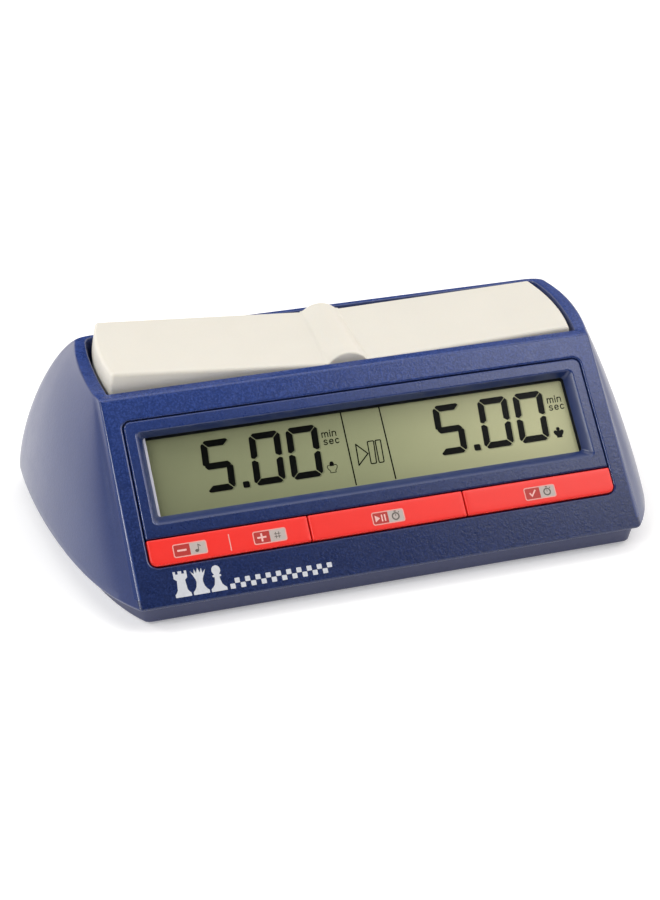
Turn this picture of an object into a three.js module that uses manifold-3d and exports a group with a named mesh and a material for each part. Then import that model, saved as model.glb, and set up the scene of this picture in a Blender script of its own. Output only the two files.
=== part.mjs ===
// Compact digital chess clock: sloped display face, bulging shell on a low plinth,
// one see-saw lever on top and a strip of three keys under the display.
// Millimetres. +X right, +Y to the back, +Z up. Origin on the table under the middle of the clock.
import * as THREE from 'three';
import * as BufferGeometryUtils from 'three/addons/utils/BufferGeometryUtils.js';
import Module from 'manifold-3d';

const wasm = await Module();
wasm.setup();

// ---------------------------------------------------------------- driving dimensions
const FOOT = 0.6;                 // how far the rubber feet stand below the underside
const SLOPE = 43.73;              // display face, degrees from horizontal
const FACE_Y = -47.6;             // lower edge of the display face
const FACE_Z = 6.43;
const FACE_LEN = 51.09;           // length of the face up the slope
const LIP_Z = 5.6;                // lowest edge of the upper casing
const REAR_Y = 47.6;
const HALF_W = 78.0;              // widest half width, at the lip
const WALL = 2.2;
const SIDE_Y = 22.3;              // where the side runs into the rounded rear
const REAR_EXP = 3.2;             // squareness of the rear outline
const TOP_REAR_Y = 20.9;          // rear edge of the top
const TOP_Z = 44.1;

const OPEN_U = 58.45, OPEN_V0 = 9.1, OPEN_V1 = 45.35;   // panel opening in the face
const BEZ_U = 58.15, BEZ_V0 = 16.0, BEZ_V1 = 45.05;     // display panel
const KEY_V0 = 9.4, KEY_V1 = 15.7;                      // key strip
const KEY_SPLIT = 19.5;

const SLOT_Y0 = -7.55, SLOT_Y1 = 19.4;                  // lever well in the top
const WELL_FLOOR = 32.5;
const LEVER_HALF = 58.6, LEVER_Y0 = -7.1, LEVER_Y1 = 18.3;
const LEVER_REST = 1.9;           // left arm up by this much at rest; travel is twice this
const LEVER_BOTTOM = 37.1;
const PIVOT_Z = 36.8, PIVOT_R = 1.25;

const FLOOR_TOP = 3.6;
const PLINTH_TOP = 5.3;
const CELL_R = 7.1, CELL_L = 49.2, CELL_Z = 10.9, CELL_Y = [14.3, 29.2];
const BAY_X = 29.5, BAY_Y0 = 6.5, BAY_Y1 = 37.0;
const DOOR_X = 30.0, DOOR_Y0 = 5.5, DOOR_Y1 = 42.6;

const RAD = Math.PI / 180;
const CA = Math.cos(SLOPE * RAD), SA = Math.sin(SLOPE * RAD);

// ---------------------------------------------------------------- colours
const mat = (c, r, m = 0) => new THREE.MeshStandardMaterial({ color: c, roughness: r, metalness: m });
const BLUE = mat(0x2a3f8a, 0.5), BLUE2 = mat(0x363f6b, 0.5), RED = mat(0xe0483e, 0.35), IVORY = mat(0xece8de, 0.5);
const LCD = mat(0x9a9a78, 0.3), CLEAR = mat(0xdfe8ee, 0.05), STEEL = mat(0xb9bcc0, 0.3, 1), BOARD = mat(0x1f6b3a, 0.6);
const RUBBER = mat(0x2a2a2c, 0.9), SILICONE = mat(0x8a8d90, 0.8), BRASS = mat(0xc9a24a, 0.35, 1), BLACK = mat(0x1a1a1c, 0.5);
const CELL = mat(0x3c3f45, 0.35, 0.3), REDWIRE = mat(0xb02020, 0.5), GREY = mat(0x9a9ca0, 0.5);

// ---------------------------------------------------------------- solids
function clean(geo) {
  const g = geo.clone();
  for (const n of Object.keys(g.attributes)) if (n !== 'position') g.deleteAttribute(n);
  return BufferGeometryUtils.mergeVertices(g, 1e-4);
}
function solid(geo) {
  const g = clean(geo);
  return new wasm.Manifold(new wasm.Mesh({
    numProp: 3,
    vertProperties: new Float32Array(g.attributes.position.array),
    triVerts: new Uint32Array(g.index.array),
  }));
}
function toGeo(m) {
  const k = m.getMesh();
  const g = new THREE.BufferGeometry();
  const n = k.numProp, src = k.vertProperties, pos = new Float32Array((src.length / n) * 3);
  for (let i = 0; i < src.length / n; i++) { pos[3 * i] = src[n * i]; pos[3 * i + 1] = src[n * i + 1]; pos[3 * i + 2] = src[n * i + 2]; }
  g.setAttribute('position', new THREE.BufferAttribute(pos, 3));
  g.setIndex(new THREE.BufferAttribute(new Uint32Array(k.triVerts), 1));
  g.computeVertexNormals();
  return g;
}
const group = new THREE.Group();
const face = new THREE.Group();              // u across, v up the slope, w out of the face
face.position.set(0, FACE_Y, FACE_Z);
face.rotation.x = SLOPE * RAD;
group.add(face);
function put(name, geo, material, parent = group) {
  const m = new THREE.Mesh(geo, material);
  m.name = name;
  parent.add(m);
  return m;
}
const box = (x0, x1, y0, y1, z0, z1) => new THREE.BoxGeometry(x1 - x0, y1 - y0, z1 - z0).translate((x0 + x1) / 2, (y0 + y1) / 2, (z0 + z1) / 2);
const cylZ = (x, y, z0, z1, r, n = 20) => new THREE.CylinderGeometry(r, r, z1 - z0, n).rotateX(Math.PI / 2).translate(x, y, (z0 + z1) / 2);
const cylX = (x0, x1, y, z, r, n = 20) => new THREE.CylinderGeometry(r, r, x1 - x0, n).rotateZ(Math.PI / 2).translate((x0 + x1) / 2, y, z);
const cylY = (x, y0, y1, z, r, n = 16) => new THREE.CylinderGeometry(r, r, y1 - y0, n).translate(x, (y0 + y1) / 2, z);
function outline(pts, z0, z1) {
  const s = new THREE.Shape(pts.map(p => new THREE.Vector2(p[0], p[1])));
  return new THREE.ExtrudeGeometry(s, { depth: z1 - z0, bevelEnabled: false, steps: 1 }).translate(0, 0, z0);
}
// rectangle with corner radii [lower left, lower right, upper right, upper left]
function rrect(x0, x1, y0, y1, r, n = 4) {
  const c = [[x0 + r[0], y0 + r[0], 180], [x1 - r[1], y0 + r[1], 270], [x1 - r[2], y1 - r[2], 0], [x0 + r[3], y1 - r[3], 90]];
  const out = [];
  c.forEach((k, i) => {
    if (r[i] <= 0) { out.push([k[0], k[1]]); return; }
    for (let j = 0; j <= n; j++) {
      const a = (k[2] + 90 * j / n) * RAD;
      out.push([k[0] + r[i] * Math.cos(a), k[1] + r[i] * Math.sin(a)]);
    }
  });
  return out;
}
// closed solid through a stack of rings with equal point counts, capped by strips between mirrored points
function loft(rings) {
  const n = rings[0].length, pos = [], idx = [];
  rings.forEach(r => r.forEach(p => pos.push(p[0], p[1], p[2])));
  const id = (k, i) => k * n + ((i + n) % n);
  for (let k = 0; k + 1 < rings.length; k++)
    for (let i = 0; i < n; i++) {
      const a = id(k, i), b = id(k, i + 1), c = id(k + 1, i + 1), d = id(k + 1, i);
      idx.push(a, b, c, a, c, d);
    }
  const top = rings.length - 1;
  for (let i = 0; i < n / 2 - 1; i++) {
    const a = i, b = i + 1, c = n - 2 - i, d = n - 1 - i;
    const t = (p, q, r) => { if (p !== q && q !== r && p !== r) idx.push(p, q, r); };
    t(id(top, a), id(top, b), id(top, c)); t(id(top, a), id(top, c), id(top, d));
    t(id(0, a), id(0, c), id(0, b)); t(id(0, a), id(0, d), id(0, c));
  }
  const g = new THREE.BufferGeometry();
  g.setAttribute('position', new THREE.Float32BufferAttribute(pos, 3));
  g.setIndex(idx);
  return g;
}

// ---------------------------------------------------------------- outline curves (right half, front corner to rear middle)
const LIP = [[62.3, -47.6], [65.1, -44.0], [66.9, -40.3], [70.5, -31.5], [72.5, -24.0], [74.3, -16.9], [75.9, -8.2], [77.2, 2.6], [77.8, 12.9], [78.0, 22.3]];
const TOP = [[62.5, -10.68, 41.75], [63.0, -7.5, 41.7], [64.0, -3.1, 42.5], [64.4, 1.35, 43.05], [64.4, 5.8, 43.6], [64.3, 10.25, 43.9], [63.7, 14.7, 44.1], [63.0, 18.2, 44.1]];
function rearArc(a, y0, b, n, e, from = 1) {
  const out = [];
  for (let i = from; i <= n; i++) {
    const t = (i / n) * Math.PI / 2;
    out.push([a * Math.pow(Math.max(Math.cos(t), 0), 2 / e), y0 + b * Math.pow(Math.sin(t), 2 / e)]);
  }
  return out;
}
function lipCurve(inset = 0) {
  const p = [...LIP, ...rearArc(HALF_W, SIDE_Y, REAR_Y - SIDE_Y, 40, REAR_EXP)];
  return offset2(p, inset);
}
function topCurve(inset = 0, drop = 0) {
  const p = TOP.map(q => [q[0], q[1]]), z = TOP.map(q => q[2]);
  for (let i = 1; i <= 8; i++) { const t = i / 8 * Math.PI / 2; p.push([58 + 5 * Math.cos(t), 18.2 + 2.7 * Math.sin(t)]); z.push(TOP_Z); }
  p.push([30, TOP_REAR_Y]); z.push(TOP_Z); p.push([0, TOP_REAR_Y]); z.push(TOP_Z);
  const o = offset2(p, inset);
  return o.map((q, i) => [q[0], q[1], z[i] - drop]);
}
function offset2(p, d) {
  if (!d) return p.map(q => [...q]);
  return p.map((q, i) => {
    const a = p[Math.max(i - 1, 0)], b = p[Math.min(i + 1, p.length - 1)];
    let tx = b[0] - a[0], ty = b[1] - a[1]; const l = Math.hypot(tx, ty); tx /= l; ty /= l;
    return [Math.max(q[0] - ty * d, 0), q[1] + tx * d];
  }).map((q, i, arr) => (i === arr.length - 1 ? [0, q[1]] : q));
}
function arcLen(p) { const s = [0]; for (let i = 1; i < p.length; i++) s.push(s[i - 1] + Math.hypot(p[i][0] - p[i - 1][0], p[i][1] - p[i - 1][1])); return s; }
function interp(x, xs, ys) {
  if (x <= xs[0]) return ys[0];
  for (let i = 1; i < xs.length; i++) if (x <= xs[i]) return ys[i - 1] + (ys[i] - ys[i - 1]) * (x - xs[i - 1]) / (xs[i] - xs[i - 1]);
  return ys[ys.length - 1];
}
const nearest = (p, x, y) => { let b = 0, bd = 1e9; p.forEach((q, i) => { const d = Math.hypot(q[0] - x, q[1] - y); if (d < bd) { bd = d; b = i; } }); return b; };
const STATIONS = [0, 0.05, 0.1, 0.17, 0.25, 0.34, 0.42, 0.47, 0.51, 0.545, 0.575, 0.6, 0.64, 0.7, 0.8, 0.9, 1];
const LEVELS = [0, 0.22, 0.45, 0.65, 0.82, 0.93, 1];
const ANCH = [0, 0.45, 0.6, 1];
// front plane at height z, moved inwards by d
const planeY = (z, d) => FACE_Y + d / SA + (z - FACE_Z) * CA / SA;
function casingRings(inset, drop) {
  const L = lipCurve(inset), T = topCurve(inset, drop);
  const aL = arcLen(L), aT = arcLen(T);
  const kL = [0, aL[nearest(L, 77.9 - inset, 16.5)], aL[nearest(L, 73.5 - inset, 40.4 - inset)], aL[aL.length - 1]];
  const kT = [0, aT[nearest(T, 63.4 - inset, 16.5)], aT[nearest(T, 61.5 - inset, 20.3 - inset)], aT[aT.length - 1]];
  const half = LEVELS.map(() => []);
  for (const s of STATIONS) {
    const sl = interp(s, ANCH, kL), st = interp(s, ANCH, kT);
    const P = [0, 1].map(k => interp(sl, aL, L.map(q => q[k])));
    const Q = [0, 1, 2].map(k => interp(st, aT, T.map(q => q[k])));
    const p = interp(s, [0, 0.2, 0.45, 0.6, 1], [1, 1.19, 1.42, 1.38, 1.24]);
    LEVELS.forEach((t, j) => {
      const h = 1 - Math.pow(Math.max(1 - Math.pow(t, p), 0), 1 / p);
      const z = FACE_Z * (1 - t) + Q[2] * t;
      let y = P[1] * (1 - h) + Q[1] * h;
      if (s === 0) y = planeY(z, inset);
      half[j].push([P[0] * (1 - h) + Q[0] * h, y, z]);
    });
  }
  return half.map(mirror);
}
function mirror(h) { return [...h, ...h.slice(0, -1).reverse().map(q => [-q[0], q[1], q[2]])]; }

function casingSolid(inset, drop, skirt) {
  const rings = casingRings(inset, drop);
  const low = rings[0];
  if (skirt > 0) {           // cavity: carry the lowest ring straight down
    rings.unshift(low.map(q => [q[0], q[1], q[2] - skirt]));
  } else {                   // outside: a short roll-under below the lip
    rings.unshift(low.map(q => {
      const l = Math.hypot(q[0], q[1] - 0) || 1;
      return [q[0] * (1 - 0.6 / l), q[1] * (1 - 0.6 / l), LIP_Z];
    }));
  }
  return solid(loft(evenRings(rings)));
}
// loft() pairs point i with point n-1-i, so the ring needs its rear middle point twice apart: pad to an even count
function evenRings(rings) {
  const n = rings[0].length;          // odd: rear middle is at index (n-1)/2
  const m = (n - 1) / 2;
  return rings.map(r => { const c = r[m]; const out = r.slice(); out.splice(m, 1, [0.4, c[1], c[2]], [-0.4, c[1], c[2]]); return out; });
}

// ---------------------------------------------------------------- upper casing
const outer = casingSolid(0, 0, 0);
const cavity = casingSolid(WALL, WALL, 3);
const faceM = new THREE.Matrix4().makeTranslation(0, FACE_Y, FACE_Z).multiply(new THREE.Matrix4().makeRotationX(SLOPE * RAD));
const inFace = geo => { const g = geo.clone(); g.applyMatrix4(faceM); return g; };
const wellOut = box(-62.4, 62.4, SLOT_Y0 - 1.8, 22.6, 31.0, 60);
const slotPts = [[-60.1, SLOT_Y0], [60.1, SLOT_Y0], [60.7, -3.1], [61.0, 1.35], [61.1, 5.8], [61.0, 10.25], [60.6, 14.7], [60.0, SLOT_Y1], [-60.0, SLOT_Y1], [-60.6, 14.7], [-61.0, 10.25], [-61.1, 5.8], [-61.0, 1.35], [-60.7, -3.1]];
let upper = outer.subtract(cavity).add(solid(wellOut).intersect(outer));
upper = upper.subtract(solid(outline(slotPts, WELL_FLOOR, 70)));
upper = upper.subtract(solid(inFace(outline(rrect(-OPEN_U, OPEN_U, OPEN_V0, OPEN_V1, [2.2, 2.2, 2, 2]), -3.4, 3))));
for (const [x, y] of [[-63.5, -22], [63.5, -22], [-64, 24], [64, 24]]) {
  upper = upper.add(solid(cylZ(x, y, 8.9, 60, 3.1, 12)).intersect(outer));
  upper = upper.subtract(solid(cylZ(x, y, 8, 17, 1.55, 10)));
}
upper = upper.subtract(solid(cylY(0, SLOT_Y0 - 3, SLOT_Y0 + 1, PIVOT_Z, 1.6)));
upper = upper.subtract(solid(cylY(0, SLOT_Y1 - 1, SLOT_Y1 + 2.2, PIVOT_Z, 1.6)));
put('upper_casing', toGeo(upper), BLUE);

// ---------------------------------------------------------------- lower casing (plinth, floor and battery bay)
const PL = [[59.3, -45.1], [61.1, -44.4], [65.7, -32.8], [69.2, -22.7], [71.0, -14.8], [72.3, -6], [73.4, 4], [73.9, 13], [74.1, SIDE_Y]];
function plinthRing(inset, z) {
  let p = [...PL, ...rearArc(74.1, SIDE_Y, 21.8, 14, REAR_EXP)];
  p = offset2(p, inset);
  if (inset) p[0] = [p[0][0], PL[0][1] + inset];
  return mirror(p.map(q => [q[0], q[1], z]));
}
const plOut = solid(loft(evenRings([plinthRing(0.7, FOOT), plinthRing(0, FOOT + 0.9), plinthRing(-0.9, PLINTH_TOP)])));
const plIn = solid(loft(evenRings([plinthRing(2.4, FLOOR_TOP), plinthRing(1.6, PLINTH_TOP + 1)])));
let lower = plOut.subtract(plIn);
lower = lower.add(solid(box(-BAY_X - 1.5, BAY_X + 1.5, BAY_Y0 - 1.5, BAY_Y1 + 1.5, FLOOR_TOP - 0.5, 15.5)));
lower = lower.subtract(solid(box(-BAY_X, BAY_X, BAY_Y0, BAY_Y1, 2.5, 20)));
const SCREWS = [[-63.5, -22], [63.5, -22], [-64, 24], [64, 24]];
for (const [x, y] of SCREWS) lower = lower.add(solid(cylZ(x, y, FLOOR_TOP - 0.5, 8.6, 3.6, 12)));
for (const [x, y] of SCREWS) {
  lower = lower.subtract(solid(cylZ(x, y, -1, 3.2, 3.0, 14)));
  lower = lower.subtract(solid(cylZ(x, y, 3, 9, 1.6, 10)));
}
lower = lower.subtract(solid(box(-DOOR_X - 0.3, DOOR_X + 0.3, DOOR_Y0 - 0.3, 60, -1, 2.9)));
lower = lower.subtract(solid(box(-DOOR_X - 1.3, DOOR_X + 1.3, DOOR_Y0 - 0.3, 60, 1.4, 2.9)));
const FEET = [[-55, -35.5], [55, -35.5], [-56, 35], [56, 35]];
for (const [x, y] of FEET) lower = lower.subtract(solid(cylZ(x, y, -1, 2.2, 4.85, 16)));
const PB = [-45, -8];
lower = lower.subtract(solid(cylZ(PB[0], PB[1], -1, 6, 3.95, 16)));
for (const dx of [-9, 9]) lower = lower.add(solid(cylZ(PB[0] + dx, PB[1], FLOOR_TOP - 0.5, 9.0, 1.8, 10)));
const BZ = [46, -6];
for (const [dx, dy] of [[0, 0], [3.5, 0], [-3.5, 0], [0, 3.5], [0, -3.5]]) lower = lower.subtract(solid(cylZ(BZ[0] + dx, BZ[1] + dy, -1, 5, 0.8, 8)));
put('lower_casing', toGeo(lower), BLUE2);

// ---------------------------------------------------------------- display panel, window, display, board
let bez = solid(outline(rrect(-BEZ_U, BEZ_U, BEZ_V0, BEZ_V1, [0.4, 0.4, 1.8, 1.8]), -2.0, 0));
bez = bez.add(solid(box(-BEZ_U, BEZ_U, 17.5, BEZ_V1 - 2, -2.7, -1.5)));
bez = bez.add(solid(box(-59.5, 59.5, 17.5, 46.3, -4.0, -2.5)));
for (const [u, v] of [[-57, 22], [57, 22], [-57, 40], [57, 40]]) bez = bez.add(solid(cylZ(u, v, -8.2, -3.8, 2.1, 12)));
bez = bez.subtract(solid(box(-54.8, 54.8, 19.6, 43.0, -5, -2.7)));
const frus = new THREE.BufferGeometry();
{
  const a = 0.1, b = -2.8;                 // window opening, wider at the face
  const at = w => { const t = -w / 2.63; return [-55.5 + 1.8 * t, 55.5 - 1.8 * t, 19.35 + 2.4 * t, 42.2 - 0.9 * t]; };
  const P = [];
  for (const w of [b, a]) { const [x0, x1, y0, y1] = at(w); P.push([x0, y0, w], [x1, y0, w], [x1, y1, w], [x0, y1, w]); }
  frus.setAttribute('position', new THREE.Float32BufferAttribute(P.flat(), 3));
  frus.setIndex([0, 2, 1, 0, 3, 2, 4, 5, 6, 4, 6, 7, 0, 1, 5, 0, 5, 4, 1, 2, 6, 1, 6, 5, 2, 3, 7, 2, 7, 6, 3, 0, 4, 3, 4, 7]);
}
bez = bez.subtract(solid(frus));
for (const [u, v] of [[-57, 22], [57, 22], [-57, 40], [57, 40]]) bez = bez.subtract(solid(cylZ(u, v, -9, -4.6, 1.15, 10)));
put('display_bezel', toGeo(bez), BLUE, face);
put('display_lens', box(-54.5, 54.5, 19.9, 42.7, -3.8, -3.0), CLEAR, face);
put('lcd_glass', box(-54.5, 54.5, 19.9, 42.7, -6.1, -4.1), LCD, face);
put('zebra_strip_upper', box(-48, 48, 40.4, 42.4, -8.1, -6.3), BLACK, face);
put('zebra_strip_lower', box(-48, 48, 20.2, 22.2, -8.1, -6.3), BLACK, face);
let board = solid(box(-58.9, 58.9, 8.4, 43.5, -10.0, -8.4));
for (const [u, v] of [[-57, 22], [57, 22], [-57, 40], [57, 40]]) board = board.subtract(solid(cylZ(u, v, -11, -8, 1.15, 10)));
put('main_board', toGeo(board), BOARD, face);
[[-57, 22, 'lower_left'], [57, 22, 'lower_right'], [-57, 40, 'upper_left'], [57, 40, 'upper_right']].forEach(([u, v, n]) => {
  const g = new THREE.LatheGeometry([[0, -11.4], [1.7, -11.4], [1.9, -11.1], [1.9, -10.2], [0.8, -10.2], [0.8, -5.2], [0, -4.9]].map(p => new THREE.Vector2(p[0], p[1])), 12).rotateX(Math.PI / 2).translate(u, v, 0);
  put('board_screw_' + n, g, STEEL, face);
});
put('processor_chip', box(-8, 8, 24, 36, -12.2, -10.2), BLACK, face);

// ---------------------------------------------------------------- keys and keypad
function key(u0, u1, r, fl, stems) {
  let k = solid(outline(rrect(u0, u1, KEY_V0, KEY_V1, r, 3), fl, 0.1));
  // crowned top with a bevelled rim
  const a = rrect(u0, u1, KEY_V0, KEY_V1, r, 3), b = rrect(u0 + 0.45, u1 - 0.45, KEY_V0 + 0.45, KEY_V1 - 0.45, r.map(x => Math.max(x - 0.3, 0.05)), 3);
  const A = a.map(p => [p[0], p[1], 0]), B = b.map(p => [p[0], p[1], 0.45]);
  if (A.length === B.length) {
    const pos = [...A, ...B].flat(), n = A.length, idx = [];
    for (let i = 0; i < n; i++) { const j = (i + 1) % n; idx.push(i, j, n + j, i, n + j, n + i); }
    for (let i = 1; i + 1 < n; i++) { idx.push(0, i + 1, i); idx.push(n, n + i, n + i + 1); }
    const g = new THREE.BufferGeometry(); g.setAttribute('position', new THREE.Float32BufferAttribute(pos, 3)); g.setIndex(idx);
    k = k.add(solid(g.translate(0, 0, -0.02)));
    k = k.subtract(solid(box(u0 - 1, u1 + 1, KEY_V0 - 1, KEY_V1 + 1, 0.43, 2)));
  }
  k = k.add(solid(box(u0, u1, 8.1, 16.9, fl - 1.0, fl + 0.001)));
  for (const s of stems) k = k.add(solid(box(s - 2.5, s + 2.5, 10.6, 14.6, -5.4, fl - 0.5)));
  return toGeo(k);
}
const RC = 1.75, RS = 0.3;
const K1 = [-BEZ_U, -KEY_SPLIT - 0.15], K2 = [-KEY_SPLIT + 0.15, KEY_SPLIT - 0.15], K3 = [KEY_SPLIT + 0.15, BEZ_U];
put('minus_plus_key', key(K1[0], K1[1], [RC, RS, RS, RS], -2.9, [-48.4, -29.2]), RED, face);
put('start_pause_key', key(K2[0], K2[1], [RS, RS, RS, RS], -2.6, [-12, 12]), RED, face);
put('confirm_key', key(K3[0], K3[1], [RS, RC, RS, RS], -2.6, [29.2, 48.4]), RED, face);
let mat1 = solid(box(-57, 57, 9.4, 16.6, -8.1, -7.4));
for (const s of [-48.4, -29.2, -12, 12, 29.2, 48.4]) mat1 = mat1.add(solid(new THREE.CylinderGeometry(1.6, 2.6, 1.0, 8).rotateX(Math.PI / 2).translate(s, 12.6, -7.0)));
put('keypad_mat', toGeo(mat1), SILICONE, face);

// ---------------------------------------------------------------- lever
const leverPlane = (x, y) => {          // top of the arms: flat, rising to the back and to both ends
  const f = 40.85 + 0.0625 * Math.abs(x), r = 44.1 + 0.049 * Math.abs(x);
  return f + (r - f) * (y - LEVER_Y0) / (LEVER_Y1 - LEVER_Y0);
};
const HUMP_R = 6.25;                    // round ridge over the pivot
const crest = y => 43.75 + 2.5 * (y - LEVER_Y0) / (LEVER_Y1 - LEVER_Y0);
const leverTop = (x, y) => Math.max(leverPlane(x, y), Math.abs(x) < HUMP_R ? crest(y) - HUMP_R + Math.sqrt(HUMP_R * HUMP_R - x * x) : 0);
function heightSolid(xs, ys, top, z0) {
  const nx = xs.length, ny = ys.length, pos = [], idx = [];
  for (let j = 0; j < ny; j++) for (let i = 0; i < nx; i++) pos.push(xs[i], ys[j], top(xs[i], ys[j]));
  for (let j = 0; j < ny; j++) for (let i = 0; i < nx; i++) pos.push(xs[i], ys[j], z0);
  const T = (i, j) => j * nx + i, B = (i, j) => nx * ny + j * nx + i;
  for (let j = 0; j + 1 < ny; j++) for (let i = 0; i + 1 < nx; i++) {
    idx.push(T(i, j), T(i + 1, j), T(i + 1, j + 1), T(i, j), T(i + 1, j + 1), T(i, j + 1));
    idx.push(B(i, j), B(i + 1, j + 1), B(i + 1, j), B(i, j), B(i, j + 1), B(i + 1, j + 1));
  }
  const wall = (a, b, c, d) => idx.push(a, b, c, a, c, d);
  for (let i = 0; i + 1 < nx; i++) { wall(B(i, 0), B(i + 1, 0), T(i + 1, 0), T(i, 0)); wall(B(i + 1, ny - 1), B(i, ny - 1), T(i, ny - 1), T(i + 1, ny - 1)); }
  for (let j = 0; j + 1 < ny; j++) { wall(B(0, j + 1), B(0, j), T(0, j), T(0, j + 1)); wall(B(nx - 1, j), B(nx - 1, j + 1), T(nx - 1, j + 1), T(nx - 1, j)); }
  const g = new THREE.BufferGeometry(); g.setAttribute('position', new THREE.Float32BufferAttribute(pos, 3)); g.setIndex(idx);
  return g;
}
const lys = [LEVER_Y0, -2, 3, 8, 13, LEVER_Y1];
let lever = solid(heightSolid([-62, -30, -5.1, -4.75, -4.4, -3.4, -1.8, 0, 1.8, 3.4, 4.4, 4.75, 5.1, 30, 62], lys, leverTop, LEVER_BOTTOM));
// ends bowed in plan, with a little draft above the rim of the well
const bow = out => {
  const p = [];
  for (const y of [LEVER_Y0, -3.6, 0.5, 4.5, 8.5, 12.5, LEVER_Y1]) p.push([LEVER_HALF + 1.2 - 0.0104 * (y - 4.5) ** 2 + out, y]);
  return [...p, ...p.slice().reverse().map(q => [-q[0], q[1]])];
};
const bowRings = [[0.75, 36], [0.75, 41.3], [0, 46], [-0.95, 52]].map(([o, z]) => bow(o).map(q => [q[0], q[1], z]));
lever = lever.intersect(solid(loft(bowRings)));
lever = lever.add(solid(cylY(0, LEVER_Y0 + 0.3, LEVER_Y1 - 0.3, PIVOT_Z, 3.0, 16)));
const under = (x0, x1) => solid(heightSolid([x0, x1], [-5.3, -2.6, 2, 6, 10, 14, 16.5], (x, y) => leverPlane(x, y) - 2.0, 30));
for (const s of [-1, 1]) {
  const a = (p, q) => (s > 0 ? under(p, q) : under(-q, -p));
  lever = lever.subtract(a(4.6, 50.8)).subtract(a(53.2, 56.8));
}
lever = lever.add(solid(box(-33, -25.5, 2, 9.5, 38.9, 43.0)));
lever = lever.subtract(solid(cylZ(-29.2, 5.8, 30, 41.6, 2.8, 12)));
lever = lever.subtract(solid(cylY(0, LEVER_Y0 - 1, LEVER_Y1 + 1, PIVOT_Z, 1.6)));
const leverG = new THREE.Group();
leverG.position.set(0, 0, PIVOT_Z);
leverG.rotation.y = LEVER_REST * RAD;
group.add(leverG);
put('rocker_lever', toGeo(lever).translate(0, 0, -PIVOT_Z), IVORY, leverG);
put('lever_magnet', cylZ(-29.2, 5.8, 39.1, 41.4, 2.5, 14).translate(0, 0, -PIVOT_Z), STEEL, leverG);
put('lever_pivot_pin', cylY(0, SLOT_Y0 - 2.2, SLOT_Y1 + 1.9, PIVOT_Z, PIVOT_R, 12), STEEL);
put('lever_stop_left', cylZ(-52, 5.8, WELL_FLOOR + 0.1, 35.05, 2.8, 14), RUBBER);
put('lever_stop_right', cylZ(52, 5.8, WELL_FLOOR + 0.1, 35.05, 2.8, 14), RUBBER);
put('lever_sensor', box(-31.2, -27.2, 4.2, 7.4, 28.8, 30.8), BLACK);

// ---------------------------------------------------------------- batteries and their contacts
function cell(dir) {        // dir +1: positive nub towards +X
  const h = CELL_L / 2;
  const pts = [[0, -h], [CELL_R - 0.5, -h], [CELL_R, -h + 0.5], [CELL_R, h - 0.9], [CELL_R - 0.6, h - 0.3], [2.7, h - 0.3], [2.7, h + 0.9], [2.3, h + 1.1], [0, h + 1.1]];
  const g = new THREE.LatheGeometry(pts.map(p => new THREE.Vector2(p[0], p[1])), 18);
  return dir > 0 ? g.rotateZ(-Math.PI / 2) : g.rotateZ(Math.PI / 2);
}
put('battery_front', cell(-1).translate(-2.9, CELL_Y[0], CELL_Z), CELL);
put('battery_rear', cell(1).translate(2.9, CELL_Y[1], CELL_Z), CELL);
put('positive_contact', box(-29.3, -28.9, 9.2, 19.4, 5.2, 16.5), STEEL);
put('negative_contact', box(-29.3, -28.9, 24.1, 34.3, 5.2, 16.5), STEEL);
put('bridge_contact', box(28.9, 29.3, 9.2, 34.3, 5.2, 15.0), STEEL);
class Helix extends THREE.Curve {
  constructor(x0, x1, y, z, r0, r1, turns) { super(); Object.assign(this, { x0, x1, y, z, r0, r1, turns }); }
  getPoint(t, o = new THREE.Vector3()) {
    const a = t * this.turns * 2 * Math.PI, r = this.r0 + (this.r1 - this.r0) * t;
    return o.set(this.x0 + (this.x1 - this.x0) * t, this.y + r * Math.cos(a), this.z + r * Math.sin(a));
  }
}
const disc = (r, n) => { const s = new THREE.Shape(); for (let i = 0; i < n; i++) { const a = i / n * 2 * Math.PI; i ? s.lineTo(r * Math.cos(a), r * Math.sin(a)) : s.moveTo(r, 0); } s.closePath(); return s; };
const spring = (x0, x1, y) => new THREE.ExtrudeGeometry(disc(0.35, 5), { steps: 22, bevelEnabled: false, extrudePath: new Helix(x0, x1, y, CELL_Z, 4.2, 2.6, 3.2) });
put('battery_spring_front', spring(28.3, 22.4, CELL_Y[0]), STEEL);
put('battery_spring_rear', spring(-28.3, -22.4, CELL_Y[1]), STEEL);
const wire = pts => new THREE.ExtrudeGeometry(disc(0.7, 8), { steps: 12, bevelEnabled: false, extrudePath: new THREE.CatmullRomCurve3(pts.map(p => new THREE.Vector3(...p))) });
put('battery_wire_red', wire([[-28.2, 14, 17.3], [-28.6, 9, 19.5], [-30, 2, 21], [-31, -8, 20.5], [-31.5, -17, 16.8], [-31.5, -24.2, 12.9]]), REDWIRE);
put('battery_wire_black', wire([[-28.2, 29, 17.3], [-29.5, 22, 20.5], [-34, 10, 23], [-36.5, -4, 22], [-37, -16, 18], [-37, -24.2, 12.9]]), BLACK);

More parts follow.
